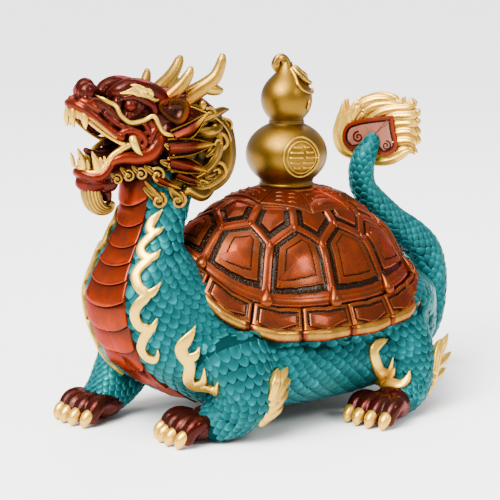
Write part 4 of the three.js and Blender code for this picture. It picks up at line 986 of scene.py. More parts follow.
# Each lock behind an elbow or a hock is [root, middle, tip], its root and middle laid on the skin.
LEG_TUFTS = {
    "elbow": [[[44, -61, 9], [48, -57, 14], [48, -49, 16]],
              [[45, -61, 12], [49, -56, 19], [48, -45.5, 23]],
              [[47, -60, 16], [50, -54, 24], [47.4, -42.4, 30]],
              [[48, -61, 20], [50.5, -56, 28], [49, -47, 34.5]],
              [[48, -62, 23], [50, -60, 29], [49.5, -54, 35]]],
    "hock": [[[60, 40, 8], [60, 48, 13], [57, 57, 18]], [[61, 40, 12], [61, 50, 19], [58, 60, 26]],
             [[61, 40, 16], [61, 49, 24], [58, 57.5, 36]], [[61, 38, 20], [60, 45, 28], [58, 52, 34]]],
}


def make_leg_tufts(skin, finish):
    """Ribbed locks that fan out behind each elbow and hock."""
    tree = skin_tree(skin)
    clay = Clay()
    for lock in (lock for locks in LEG_TUFTS.values() for lock in locks):
        for side in SIDES:
            root, middle, tip = (np.array([side * x, y, z]) for x, y, z in lock)
            root, middle = on_skin(tree, root, 0.6), on_skin(tree, middle, 1.6)
            rows = [[*root, 1.6, 2.4], [*middle, 2.4, 2.8], [*(middle * 0.4 + tip * 0.6), 1.9, 2.0],
                    [*tip, 0.3, 0.3]]
            clay.add(loft(rows, sides=24, steps=6, ribs=(6, 0.13), caps=(0.6, 0)), 0.8)
    return clay.piece("leg_tufts", finish)


def on_skin(tree, p, lift):
    """The place on the skin nearest to a point, lifted off it."""
    near, normal, _ = nearest_on(tree, p)
    return near + normal * lift


# Paws

# A toe and its claw at its root, as [share of the sideways place, y, z, girths]
TOE = [[0.7, 16, 8.5, 4.3], [0.92, 10.5, 10.6, 4.0], [1, 6.2, 9.4, 4.1], [1, 3.4, 6.2, 3.7],
       [1, 2.4, 3.4, 3.3]]
CLAW = [[1, 4.6, 6.4, 2.6], [1, 1.2, 5.9, 2.9, 2.9], [1, -0.9, 3.8, 2.6, 2.7], [1, -1.8, 1.4, 1.6, 1.7],
        [1, -2, 0.25, 0.3, 0.3]]


def make_paws(red, pale):
    """Four paws of four toes with knuckles, and the claws of all of them as one piece."""
    claws = Clay()
    for name, place in PAWS.items():
        flesh = Clay(place)
        flesh.add(ball((0, 15, 6.5), (12.2, 11, 6))).add(ball((0, 21, 8), (10.2, 9, 8)))
        claws.place = place
        for share in (-0.75, -0.25, 0.25, 0.75):
            x, back = 14.6 * share, 3.5 * share * share
            toe, claw = ([[x * across, y + back, z, *girth] for across, y, z, *girth in rows]
                         for rows in (TOE, CLAW))
            flesh.add(loft(toe, sides=16))
            flesh.add(ball((x * 0.92, 9.6 + back, 11.4), (3.9, 3.2, 3.2)))
            flesh.add(ball((x, 5.2 + back, 8.6), (3.9, 3.2, 3.4)))
            claws.add(loft(claw, sides=16, steps=6, caps=(0.5, 0.3)), 0.8)
        paw = modelled(flesh.piece(f"paw_{name}", red), 0.75, 3)
        flatten(paw)
        dressed(paw, red)
    nails = claws.piece("claws", pale)
    flatten(nails)
    return nails


def flatten(obj):
    """Sets down what would reach below the floor."""
    for vertex in obj.data.vertices:
        vertex.co.z = max(vertex.co.z, 0.0)


# Head

# Drawn in [forward, to its left, up] from its own middle, which has [x, y, z, turn in degrees]
HEAD = (-7, -87.5, 146, -15)


def face(forward, left, up):
    """A place drawn on the head as x, y and z about its middle."""
    return left, -forward, up


def tube(clay, rows, tone=0.5, sides=14, mirrored=True, **options):
    """A smooth roll through [forward, left, up, half width, half depth] stations, on both sides. A
    pair of tones runs from its root to its tip."""
    for side in SIDES if mirrored else (1,):
        stations = [[*face(row[0], side * row[1], row[2]), *row[3:]] for row in rows]
        shape = loft(stations, sides=sides, **options)
        clay.add(shape, np.linspace(*tone, len(shape[0])) if isinstance(tone, tuple) else tone)


def lump(clay, row, radii, tone=0.5, mirrored=True, **options):
    """A ball at [forward, left, up]; its radii are along forward, left and up."""
    for side in SIDES if mirrored else (1,):
        clay.add(ball(face(row[0], side * row[1], row[2]), (radii[1], radii[0], radii[2]), **options),
                 tone)


def make_head(finish):
    """Skull, muzzle, jaws, lips, cheeks, brows and nose, fused in one."""
    clay = Clay(HEAD)
    tube(clay, [[-34, 0, -6, 9, 12], [-22, 0, 2, 13.4, 13.4], [-8, 0, 4.5, 14.5, 14],
                [4, 0, 5.6, 12, 12.6], [13, 0, 8, 8.5, 9]], 0.45, sides=28, mirrored=False)
    tube(clay, [[6, 0, 3.6, 12.4, 8.2], [17, 0, 6, 10.4, 7.6], [26, 0, 9.6, 8.4, 5.4],
                [33.4, 0, 12, 5.0, 2.8]],
         0.45, sides=24, mirrored=False)
    tube(clay, [[-4, 0, -13.6, 12, 7.4], [8, 0, -17, 11.4, 6.2], [17, 0, -20.2, 9.4, 4.8],
                [25, 0, -22, 7.2, 3.8]],
         0.45, sides=24, mirrored=False)
    # Brows, sockets and the folds round the eyes
    tube(clay, [[17.6, 5.5, 15.6, 2.6, 2.8], [15, 8, 17.6, 4.2, 3.6], [10, 8.6, 18.9, 5.4, 4.4],
                [4, 9, 18, 6, 4.8], [-2, 9.6, 15.6, 5.6, 4.6], [-7, 11, 12, 4, 4]], 0.5)
    tube(clay, [[14, 11.6, 14.4, 1.4], [10, 13.4, 15.4, 1.9], [5, 14.4, 13.4, 2], [1, 14.9, 10.6, 1.8],
                [0, 15, 7.6, 1.4]],
         0.5)
    for reach, girth in ((4.5, 0.75), (5.9, 0.7), (7.1, 0.6)):
        fold = []
        for t in np.linspace(-1.9, 1.35, 12):
            left = 12.6 + 0.5 * math.sin(t) - 0.12 * reach
            fold.append([10.6 - reach * math.cos(t), left, 10.6 + reach * math.sin(t) * 0.9, girth])
        tube(clay, fold, sides=10, steps=2)
    lump(clay, [10.6, 11.4, 10.9], [3.1, 2.8, 2.9], 0.58)
    lump(clay, [16.4, 9.4, 11.6], [2.2, 2.2, 3.4], 0.5)
    # Nose with its ringed nostrils, and the folds beside it
    lump(clay, [28, 0, 18.4], [4.8, 4.8, 5.2], 0.52, mirrored=False)
    lump(clay, [28.4, 3, 17.2], [4.2, 3.8, 4.4], 0.55)
    lump(clay, [25.8, 0, 17.4], [5, 4, 3.2], 0.5, mirrored=False)
    for t in np.linspace(0, 2 * math.pi, 9)[:-1]:
        lump(clay, [29 + 1.6 * math.cos(t), 6, 15.9 + 1.6 * math.sin(t)], [0.75, 0.9, 0.75], 0.52,
             across=8, down=6)
    tube(clay, [[32.6, 6, 13.8, 1.6], [30.4, 8, 12.6, 1.9], [27.6, 9.3, 10.8, 1.7], [25, 10, 9.2, 1.2]],
         0.66)
    tube(clay, [[28, 8.2, 14, 1.4], [24, 9.6, 12, 1.7], [20, 11.2, 8.6, 1.6], [17, 12.2, 5.2, 1.2]], 0.55)
    tube(clay, [[23, 10.4, 8, 1.3], [19, 12, 4.2, 1.5], [15.4, 13, 2, 1.4], [11, 13.8, 1.6, 1.0]], 0.58)
    # Upper lip, which winds into the curl at the mouth's corner
    tube(clay, [[35.1, 0, 12, 2.4, 2.2], [34.2, 4.4, 11.8, 2.3], [31.9, 7.8, 9.9, 2.2],
                [28, 9.8, 6.6, 2.1], [23.2, 11.2, 2.2, 2], [18.6, 12.4, -1.6, 1.9],
                [15.4, 13, -3.4, 1.7]], 0.62)
    # A thin orange-gold strip along the upper lip's lower edge: a painted highlight.
    tube(clay, [[31.6, 8.8, 7.9, 0.8], [28, 10.8, 4.7, 1.1], [23.4, 12.2, 0.4, 1.0],
                [19, 13.4, -3.2, 0.7]], 0.82, sides=10)
    tube(clay, [[17.4, 12.6, -1.4, 1.1], [13.6, 14, -0.2, 1.4], [10.4, 14.8, -0.3, 1.5],
                [7, 15.4, -2.2, 1.5], [5.2, 15.4, -5.8, 1.4], [7, 15, -8.4, 1.1]], 0.62)
    tube(clay, [[12.4, 13.6, -2.6, 0.8], [9.6, 14.8, -3.2, 0.9], [8.2, 15, -5.6, 0.8],
                [9.2, 14.6, -7.4, 0.6]], 0.58, sides=10)
    # Cheek folds and the smooth roll of the lower jaw
    tube(clay, [[2.6, 14.4, 3.4, 1.5], [0, 15.2, 1.2, 1.6], [1.6, 15.6, -2.2, 1.5], [3, 15.2, -6, 1.2]],
         0.6)
    tube(clay, [[6, 14.6, 3, 1.2], [3.8, 15.2, 0.6, 1.3], [4.8, 15.2, -1.8, 1]], 0.58)
    tube(clay, [[20, 10.4, -14.8, 1.7], [17.4, 11.6, -13.2, 2.3], [13.4, 12.4, -12.6, 2.7],
                [8.6, 13.2, -12.8, 3.2], [2.4, 13.4, -11.4, 3.9], [-1.8, 13.2, -7.2, 4.2],
                [-2.2, 13, -3, 3.4], [-0.6, 13, 0, 2.4]], 0.66)
    lump(clay, [-9, 11, -4], [7, 6, 8], 0.45)
    # Lower lip and the chin's two bulges
    tube(clay, [[31.6, 0, -19.4, 2.4], [30.8, 3.8, -20, 2.4], [28, 7.2, -21.2, 2.4],
                [24.2, 9, -20.6, 2.3], [21.4, 9.8, -17.6, 1.9], [19.6, 10.6, -15, 1.4]], 0.6)
    lump(clay, [27.6, 0, -24.6], [5.6, 6.8, 4.4], 0.6, mirrored=False)
    lump(clay, [25.6, 5, -24.8], [5, 4, 3.6], 0.55)
    lump(clay, [19.4, 5.4, -25], [4.6, 4, 4], 0.5)
    tube(clay, [[21, 0, -26, 4.4, 3.4], [18.4, 0, -30, 4, 2.6], [18, 0, -33, 3.4, 2]], 0.45,
         mirrored=False)
    # Eye patch behind the brow, running to the horn's root
    tube(clay, [[-6, 10, 10, 3.4], [-14, 9.4, 13, 3.8], [-22, 9, 14, 3.4]], 0.5)
    return modelled(clay.piece("head", finish), 0.5, 3)


def make_mouth(finish):
    """Tongue and palate, darker than the face."""
    clay = Clay(HEAD)
    tube(clay, [[2, 0, -9.6, 7, 3.4], [12, 0, -11.6, 6.6, 2.8], [20, 0, -12.4, 5, 2.3],
                [25, 0, -11.2, 3.2, 1.8], [28.2, 0, -9.6, 1.9, 1.4]], 0.35, sides=20, mirrored=False,
         caps=(0.6, 0.9))
    tube(clay, [[4, 9, -6, 3.4, 5.6], [10, 8.6, -8, 2.6, 4], [15, 9.4, -9, 1.8, 2.4]], 0.2, sides=14)
    return modelled(clay.piece("tongue", finish), 0.6, 3)


# Small teeth as [forward, left], fangs as their stations and tone, and the gums' stations
UPPER_TEETH = [[34.9, 0.0], [34.7, 1.7], [34.2, 3.4], [33.6, 5], [32.8, 6.5]]
LOWER_TEETH = [[31.2, 1.2], [30.6, 3.2], [29.6, 5.0], [24.9, 8.6], [23.1, 9.3]]
FANGS = [
    ([[35.4, 3.2, 9.6, 1.2], [35.8, 3.6, 5.6, 1.3], [35.6, 3.8, 2.6, 0.8], [35.2, 3.8, 1.6, 0.3]], 0.9),
    ([[31.6, 7.8, 8.6, 1.8], [32, 8.4, 5.2, 1.7], [31.9, 8.8, 2.4, 0.9], [31.8, 9, 1.2, 0.3]], 0.95),
    ([[25.6, 8.2, -18, 2.2], [26.6, 8.3, -14.4, 1.8], [28, 8.4, -11, 0.9], [28.6, 8.4, -9.4, 0.25]],
     0.95),
    ([[31.8, 5.8, -17, 1.0], [32.3, 6, -13.6, 0.9], [33.2, 6, -10.8, 0.25]], 0.9),
    ([[11.6, 15.2, -3.2, 1.5, 1.7], [11.2, 16.2, -6, 1.7, 1.9], [9.6, 16.6, -9.2, 1.2, 1.3],
      [7.4, 16.4, -11.4, 0.25, 0.25]], 1.0),
]
GUMS = [
    [[32.4, 7, 6.6, 0.7], [28.6, 9.4, 2.9, 0.8], [23, 11.2, -1.7, 0.8], [17, 12.4, -5.4, 0.9],
     [12.6, 12.4, -7, 1.4]],
    [[12.4, 12.2, -7, 1.6], [16, 12, -8.8, 1.4], [19.8, 11.2, -11.4, 1.3], [22.4, 10.2, -15.2, 1.3],
     [25, 9.4, -18.2, 1.2], [29, 7, -19, 1.0], [31.6, 3, -17.8, 1.0], [32, 0, -17.4, 1.0]],
]


def make_teeth(finish):
    """Two rows of small teeth, four pairs of fangs at the front, a fang behind each lip's curl, and
    the uneven gums that run back to the mouth's corners."""
    clay = Clay(HEAD)
    for forward, left in UPPER_TEETH:
        root = 10.2 - 0.5 * (35.2 - forward)
        tube(clay, [[forward - 0.3, left, root, 0.95, 1.1], [forward, left, root - 2.4, 1.0, 1.0],
                    [forward, left, root - 3.4, 0.8, 0.8]], 0.8, sides=12, caps=(0.5, 0.8))
    for forward, left in LOWER_TEETH:
        root = -17 + 0.25 * (31 - forward)
        tube(clay, [[forward - 0.6, left, root - 1, 1.0, 1.0],
                    [forward - 0.3, left, root + 1.6, 0.95, 0.9], [forward, left, root + 3, 0.5, 0.5]],
             0.8, sides=12, caps=(0.5, 0.8))
    for stations, tone in FANGS:
        tube(clay, stations, tone)
    random = np.random.default_rng(RANDOM_SEED)
    for rows in GUMS:
        points = smooth_rows(rows, 7)
        for side in SIDES:
            stations = [[*face(f, side * l, u), girth * (1 + 0.16 * random.standard_normal()), girth]
                        for f, l, u, girth in points]
            clay.add(loft(stations, sides=12, steps=1), 0.62)
    return clay.piece("teeth", finish)


# Whiskers and brow flames are ribbons, as [forward, left, up, half width]. The far side has its own
# horns, and each horn starts at its own tone.
WHISKER = [[25.4, 6.8, 15.9, 0.3], [22.8, 9.4, 15.2, 0.95], [20.1, 11.6, 13.1, 1.0], [17.2, 13, 9.8, 1.0],
           [15, 14.2, 6.8, 1.0], [11.5, 15.4, 4.7, 1.0], [7.7, 16.2, 5.6, 1.0], [3.9, 16.8, 6.5, 1.0],
           [0.1, 17.6, 5.1, 1.0], [-2, 18.4, 1.8, 1.0], [-4, 19.4, -1.5, 0.95], [-7.2, 20.2, -2.9, 0.9],
           [-10, 20.8, -1.9, 0.85], [-10, 21.2, 0.4, 0.8], [-8.4, 21.4, 0.6, 0.7],
           [-7.8, 21.4, -0.4, 0.6]]
BROW_FLAME = [
    [[15.4, 10.6, 17.4, 0.3], [12.4, 12.4, 17.6, 1.0], [9.6, 13.4, 17.6, 1.9], [6.6, 14.2, 16.6, 2.3],
     [4, 15, 15, 2], [1.6, 15.6, 13.8, 1.5], [-1.6, 16, 13.2, 0.3]],
    [[11, 12, 19.6, 0.3], [8.6, 12.6, 19.4, 1.0], [6, 13.4, 18.4, 1.3], [4.4, 14, 17, 1]],
    [[4.6, 14, 18.6, 0.3], [3, 14, 17.6, 1.0], [1.8, 14.6, 16, 1.1], [3, 15, 14.8, 0.8]],
]
HORNS = [
    [[-17.6, 8.6, 12, 4.4], [-22.2, 10.4, 15.4, 4.1], [-27, 12.4, 18.6, 3.7], [-31.2, 13.8, 22.4, 3.1],
     [-33.4, 14.6, 27, 2.6], [-34.3, 15, 30.4, 2.2], [-34.6, 15, 32, 1.6]],
    [[-27, 12.4, 17.8, 3.2], [-31, 13, 16.6, 2.8], [-33.4, 13.2, 16.2, 2.3], [-34.4, 13.2, 16.2, 1.6]],
    [[-6.6, 10.2, 11.6, 3.8], [-10.8, 12.2, 16, 3.3], [-14.6, 14, 20.2, 2.9], [-17, 15.4, 24.4, 2.3],
     [-17.7, 15.8, 26.8, 1.5]],
]
HORN_TONES = (0.4, 0.7, 0.25)
FAR_HORNS = [
    [[-10, 7, 13, 4.2], [-14, 8.4, 16.6, 3.8], [-19.6, 10.6, 20.4, 3.4], [-24, 12.4, 25, 2.8],
     [-26.4, 13.6, 28.6, 2.3], [-27.2, 14, 29.8, 1.6]],
    [[-20, 10.8, 20, 2.2], [-26, 12.2, 18.4, 1.9], [-31, 13, 18, 1.1]],
    [[-4, 7.6, 14, 2.8], [-6.5, 9.5, 19, 2.6], [-8.4, 11.4, 23, 2], [-8.8, 12, 24.6, 1.3]],
]


def on_head(side, rows):
    """[forward, left, up, half width] stations as places in the figure."""
    return [[*turned(np.array([face(f, side * l, u)]), HEAD)[0], width] for f, l, u, width in rows]


def make_gold(head, finish, horn):
    """Whiskers, brow flames, horns and the knob between the brows."""
    tree = skin_tree(head)
    trims = Clay()
    for side in SIDES:
        for rows, thick, calm in ((WHISKER, 1.2, 12), *((rows, 0.8, 4) for rows in BROW_FLAME)):
            ribbon(trims, tree, on_head(side, rows), thick=thick, under=0.5, tone=0.66, calm=calm)
    trims.piece("whiskers", finish)
    clay = Clay(HEAD)
    for side, horns in ((1, HORNS), (-1, FAR_HORNS)):
        for rows, start in zip(horns, HORN_TONES):
            rows = [[f, side * l, u, width] for f, l, u, width in rows]
            tube(clay, rows, (start, 0.9), sides=18, steps=5, mirrored=False, caps=(0.5, 0.9))
    lump(clay, [14.8, 9.2, 18.2], [2.6, 1.8, 2.2], 0.7)
    lump(clay, [-25.5, 12.6, 9.6], [1.7, 1.6, 2.6], 0.7)
    return clay.piece("horns", horn)


# An ear's section from its back over the rim into the cup, as [share of the outline, depth, tone]
EAR = [(0.25, -5.5, 0.5), (0.62, -4.4, 0.5), (0.9, -2, 0.5), (1.04, -0.4, 0.5), (1.1, 0.5, 0.54),
       (1.06, 1.1, 0.6), (0.98, 1.0, 0.62), (0.9, -0.2, 0.74), (0.7, -2.2, 0.7), (0.44, -3.4, 0.45),
       (0.1, -3.7, 0.2)]


def make_ears(finish):
    """Cupped ears: a lacquered rim, gold inside and dark at the bottom."""
    clay = Clay(HEAD)
    turn = np.linspace(0, 2 * np.pi, 41)[:-1]
    back = -6.9 * np.cos(turn) * (1 + 0.2 * np.cos(turn))
    tall = 5.4 * np.sin(turn) * (1 - 0.22 * np.cos(turn))
    outline = np.stack([back, tall], -1)
    tones = np.append(np.repeat([tone for _, _, tone in EAR], len(outline)), [0.5, 0.1])
    lean = np.array(face(-0.35, 0, 0.94))
    for side in SIDES:
        middle = np.array(face(-9.4, side * 17.6, 8.4))
        out = unit(np.array(face(0.34, side * 0.9, 0.26)))
        up = unit(lean - out * (lean @ out))
        ahead = np.cross(up, out) * -side
        flat = outline @ np.array([-ahead, up])
        rings = [middle + share * flat + out * depth for share, depth, _ in EAR]
        clay.add(closed_skin(rings), tones)
    return clay.piece("ears", finish)


# Mane

# Each pointed lock behind the cheek is its root, middle, tip and girth, and each curl its middle,
# radius and root.
SPIKES = [
    ([-8, 17.6, -4], [-15.6, 20, -0.2], [-24, 20.6, 6.6], 3.6),
    ([-5, 17, -9], [-15, 20.6, -8.4], [-26.8, 22.4, -7.6], 4.2),
    ([-6, 16, -15], [-14.6, 19.4, -17.4], [-24.6, 20.6, -20.6], 3.8),
    ([0, 14, -22], [-4, 16.6, -24.6], [-11, 18.4, -27.8], 2.2),
    ([-10, 16, -21], [-17, 17.6, -24], [-22.8, 17, -26.4], 2.4),
]
# A lock's section from edge to edge, as [across, out, tone]
SPIKE_SECTION = np.array([[-1, -0.9, 0.3], [-1, 0.2, 0.6], [-0.88, 0.55, 0.95], [-0.66, 0.3, 0.3],
                          [-0.3, 0.75, 0.6], [0, 0.9, 0.64], [0.3, 0.75, 0.6], [0.66, 0.3, 0.3],
                          [0.88, 0.55, 0.95], [1, 0.2, 0.6], [1, -0.9, 0.3]])
JAW_CURLS = [
    ([16.6, 8.8, -22.8], 2.6, [20, 9, -19.6]), ([12, 11, -21.2], 3.0, [16, 11.4, -17.2]),
    ([6.5, 13, -20.5], 3.0, [11, 13, -16.6]), ([-0.6, 15.4, -21.2], 3.7, [5.4, 14.4, -16.6]),
    ([-7.6, 17.4, -16.9], 4.0, [-1.6, 16.6, -14.6]), ([-8.6, 19, -10.1], 3.9, [-3.6, 17.4, -7]),
]
LOW_CURLS = [
    ([-2, 13.4, -33.3], 4.2, [5, 13, -27]), ([-12, 13.4, -34], 4.4, [-7, 14.4, -27.4]),
    ([-25.6, 11, -29.6], 4.6, [-15, 14, -27]), ([-34, 12.6, -8.4], 4.8, [-26, 14.6, -14]),
    ([-33.6, 11.4, -22.3], 5.2, [-26, 14, -24]), ([-29, 13, 5], 3.4, [-24, 14, 0]),
    ([-40.5, 7.4, -1.2], 3.4, [-35, 11, -6]),
]


def make_spikes(finish):
    """Pointed locks, gold on the edges and lacquered between, creased along their length."""
    clay = Clay(HEAD)
    tones = SPIKE_SECTION[:, 2]
    for root, middle, tip, girth in SPIKES:
        for side in SIDES:
            at = np.array([face(f, side * l, u) for f, l, u in (root, middle, tip)], float)
            out = np.array(face(0.1, side, 0.1))
            across = unit(np.cross(unit(at[2] - at[0]), out))
            rows = smooth_rows(np.column_stack([at, [girth * 1.15, girth, 0.2]]), 8)
            wide = rows[:, 3][:, None, None]
            rings = (rows[:, None, :3] + across * SPIKE_SECTION[None, :, :1] * wide
                     + unit(out) * SPIKE_SECTION[None, :, 1:2] * wide)
            gilt = np.clip((np.linspace(0, 1, len(rows)) - 0.55) / 0.4, 0, 1)[:, None]
            clay.add(closed_skin(rings), np.append((tones + (0.95 - tones) * gilt).ravel(), [0.5, 1.0]))
    return clay.piece("mane_spikes", finish, angle=45)


def make_curls(finish):
    """Spiral curls along the jaw and over the mane, each with a short ribbed stem."""
    clay = Clay(HEAD)
    for middle, radius, root in JAW_CURLS + LOW_CURLS:
        for side in SIDES:
            out = unit(np.array(face(0.25, side, -0.05)))
            m, r = (np.array(face(f, side * l, u)) for f, l, u in (middle, root))
            start = 125 if side > 0 else 55
            clay.add(coil(m, out, radius * 1.1, turns=1.3, girth=0.2, start=start, hand=-side, rise=0.3,
                          sides=10), 0.95)
            # A dark ball behind each curl shows between its turns: patina with painted shade in the
            # spiral's groove.
            clay.add(ball(m - out * radius * 0.6, [radius * 0.7] * 3), 0.1)
            stem = [[*r, radius * 0.1, radius * 0.15],
                    [*(r * 0.6 + m * 0.4), radius * 0.26, radius * 0.4],
                    [*(m - out * radius * 0.5), radius * 0.36, radius * 0.5]]
            clay.add(loft(stem, sides=24, ribs=(6, 0.16)), 0.36)
    return clay.piece("mane_curls", finish)


def hair_sheet(clay, rows, hairs, depth, tone):
    """A thick lock of hair: a flattened roll with fine ribs."""
    stations = [[*face(*row[:3]), *row[3:]] for row in rows]
    clay.add(loft(stations, sides=4 * hairs, steps=6, ribs=(hairs, depth)), tone)


SWEEP = [[-19, 9, -30, 3.6, 3], [-29, 9, -28.4, 4.4, 4], [-36.6, 8, -24, 4.8, 4.6],
         [-40.4, 7, -16.4, 4.8, 4.6], [-41.2, 6, -8, 4.4, 4], [-40.8, 5.6, -1.6, 3.4, 3],
         [-39.4, 6, 1.6, 2.2, 1.8]]
INNER_SWEEP = [[-20, 12, -24, 2.6, 2], [-28, 12.6, -19.6, 3, 2.6], [-33, 12, -13, 3, 2.6],
               [-34.4, 11.4, -6, 2.8, 2.4], [-31.6, 12, 0, 2.2, 1.8]]
LOCKS = [
    [[-22, 13, 2, 2.2], [-30, 12.6, 4.6, 2.4], [-36, 10.6, 6.4, 1.9], [-41.4, 8.4, 6.6, 0.4]],
    [[-16, 15, -28.6, 2.4], [-24, 13.4, -32.6, 2.6], [-30, 10.6, -30.4, 2.2], [-33.4, 9.4, -27.2, 0.8]],
    [[4, 12, -24, 0.6], [1, 13.4, -28, 1.5], [-2.4, 13.8, -31.4, 1.5], [-3.6, 13.6, -34, 0.9]],
    [[-5, 13.6, -24, 0.6], [-8.6, 14.4, -28.6, 1.6], [-12.4, 14, -31.6, 1.5], [-14.4, 13.6, -34.4, 0.9]],
    [[-22, 12, -2, 2], [-28, 14, -3, 2.6], [-33, 13, -2, 2], [-36, 12, 1, 0.8]],
]


# A lock of the nape is [forward, up, share of its sideways place, half width, half depth].
NAPE = [[-20, 9, 1, 3.6, 2], [-30, 4.6, 1.1, 4, 2.4], [-38, -2, 0.9, 4, 2.4], [-42, -10, 0.7, 3.6, 2.4],
        [-42, -18, 0.6, 3, 2]]


def make_mane(finish):
    """The mass of hair behind the head, swept down the nape in ribbed locks that curl up at the end."""
    base = Clay(HEAD)
    lump(base, [-30, 0, -9], [13, 13, 14.6], 0.3, mirrored=False)
    lump(base, [-15, 0, -25], [16, 14, 8.6], 0.3, mirrored=False)
    lump(base, [-22, 0, -20], [15, 12.4, 11], 0.3, mirrored=False)
    lump(base, [-15, 8.6, -11], [10, 7, 11], 0.3)
    modelled(base.piece("mane_base", finish), 1.0, 3)
    clay = Clay(HEAD)
    for side in SIDES:
        for rows, hairs in ((SWEEP, 7), (INNER_SWEEP, 6), *((lock, 5) for lock in LOCKS)):
            hair_sheet(clay, [[f, side * l, *rest] for f, l, *rest in rows], hairs, 0.08, 0.7)
    for left in (-9, -3, 3, 9):
        hair_sheet(clay, [[f, left * share, u, *girth] for f, u, share, *girth in NAPE], 7, 0.12, 0.5)
    return clay.piece("mane_locks", finish)


BEARD = [[26.4, 0, -25, 6, 3.6], [26.2, 0, -29.6, 6, 4], [24.4, 0, -34.4, 5.6, 3.9], [21, 0, -37, 5, 3.2],
         [17.6, 0, -37, 4.2, 2.3], [15.8, 0, -34.6, 3.2, 1.6]]


def make_beard(finish):
    """The chin's beard, curled back at its end."""
    clay = Clay(HEAD)
    hair_sheet(clay, BEARD, 16, 0.09, 0.85)
    return clay.piece("beard", finish)


# Tail tuft

# Drawn flat in [across, up] from its own middle, which has [x, y, z, turn in degrees]
TUFT = {"place": (-4.5, 70, 133, 30), "half_depth": 4.6}
TUFT_OUTLINE = [
    [-12, -13.4], [-17.6, -11], [-20.4, -6], [-20.6, 0], [-18.4, 5], [-14, 9.6], [-9.5, 14.5],
    [-3.1, 17.6], [2, 18], [7, 17.4], [11.5, 14.6], [17, 15], [21.6, 11], [22.4, 4], [22.2, -2],
    [22.4, -8], [19, -12], [11.4, -16.4], [3.3, -17], [-4, -15.6],
]
# Each lock runs from its root to its tip as [across, up, half width].
TUFT_LOCKS = [
    [[-2, -14.6, 0.9], [-10, -13.4, 2.3], [-16.3, -9.8, 3.1], [-18.6, -3, 3.2], [-17.8, 3.5, 2.8],
     [-16.8, 8.5, 2.2], [-16.4, 12.3, 1.4], [-15.6, 15.6, 0.3]],
    [[-5, -11, 1.4], [-12, -8, 2.6], [-14.6, -2, 2.9], [-13.6, 5, 2.6], [-11.8, 10, 2], [-9.5, 14, 1.2],
     [-7, 16.6, 0.3]],
    [[-12, 1, 1.5], [-10.6, 8, 2.5], [-6, 13.6, 2.9], [0, 16.4, 2.7], [6, 16.8, 2.2], [10, 16, 1.4],
     [11.3, 14.8, 0.4]],
    [[-9, 3, 1.4], [-6, 9, 2.4], [0, 13, 2.8], [7, 14.2, 2.4], [12, 13.8, 1.8], [14, 14.6, 1.2],
     [14.8, 17.4, 0.3]],
    [[-4, 4, 1.5], [3, 9.4, 2.6], [10, 11.6, 2.8], [16.4, 12.4, 2.4], [20, 14, 1.3], [18, 16.8, 0.3]],
    [[3, 4, 1.6], [11, 7.8, 2.8], [17, 8.4, 3], [20.8, 9, 2.4], [22, 10.6, 0.8]],
    [[5, 1, 1.6], [12, 3.8, 2.8], [18, 4.4, 3], [21.2, 4.6, 2.2], [22.3, 5.4, 0.8]],
    [[6, -3, 1.6], [13, -0.6, 2.8], [18.4, 0, 2.8], [21.2, -1, 2.2], [22.4, -2.4, 0.8]],
    [[5, -7, 1.6], [12, -5.4, 2.8], [18.2, -4.6, 2.8], [21.2, -5.4, 2.2], [22.2, -7.2, 0.8]],
    [[-9, -12.6, 1.2], [-3, -15.6, 2], [4, -16, 2.5], [11, -14.2, 2.6], [16.5, -10.6, 2.1],
     [19.8, -10.2, 1.3], [21.8, -12, 0.3]],
    [[-2, -12, 1.4], [5, -12.6, 2.2], [12, -10.6, 2.3], [17.4, -8.6, 1.8], [20.6, -9, 0.4]],
]


def flat_at(across, up, out):
    """A place drawn on the tuft as x, y and z about its middle."""
    return across, -out, up


# The core's section, as [share of the outline, share of the half depth]
TUFT_CORE = [(0.4, -1.25), (0.8, -1.1), (0.92, -0.5), (0.92, 0.5), (0.8, 1.1), (0.4, 1.25)]


def make_tuft(finish):
    """A flat core with ribbed locks on both faces, each sweeping out to its pointed tip."""
    clay = Clay(TUFT["place"])
    outline = smooth_rows(TUFT_OUTLINE + TUFT_OUTLINE[:1], 3)[:-1]
    middle, deep = outline.mean(0), TUFT["half_depth"]
    core = [[flat_at(*(middle + (p - middle) * share), deep * out) for p in outline]
            for share, out in TUFT_CORE]
    clay.add(closed_skin(core), 0.2)
    for side in SIDES:
        for order, rows in enumerate(TUFT_LOCKS):
            raised = deep + 0.35 * (order % 3)
            stations = []
            for i, (across, up, half) in enumerate(rows):
                out = side * (raised - 1.6 * (i / len(rows)) ** 2)
                stations.append([*flat_at(across, up, out), half, 0.5 + half * 0.8])
            clay.add(loft(stations, sides=32, steps=6, ribs=(8, 0.09), wide=(1, 0, 1), caps=(0.5, 0)),
                     0.66)
    return clay.piece("tuft_locks", finish)


HEART = [[11, 8.4], [4.8, 7.7], [-1.6, 6.8], [-7.4, 5.6], [-12.2, 3.9], [-14.6, 1.7], [-16, -2],
         [-15.6, -6.2], [-13.7, -8.7], [-11.2, -10.5], [-7, -10], [-1, -8.8], [2.9, -10.8], [4.7, -12.5],
         [7.7, -12.7], [11.3, -11], [13.4, -8.3], [13.6, -5.2], [12.5, -1.1], [11.7, 3.5]]
# [inset, how far out, tone] from the heart's edge inwards, then [share, how far out, tone]
HEART_RIM = [[0, 5.6, 0.1], [0, 8.1, 0.5], [0.3, 8.9, 0.62], [1.9, 8.95, 0.55], [2.25, 8.6, 0.3],
             [2.35, 7.8, 0.0], [2.8, 7.8, 0.02], [3.0, 8.2, 0.9]]
HEART_FIELD = [[0.75, 8.35, 0.85], [0.45, 8.45, 0.82], [0.15, 8.5, 0.8]]
# The curls as [across, up, radius, hand]
HEART_CURLS = [[-7.3, -3.3, 3.3, 1], [7.6, -7.3, 2.8, -1]]


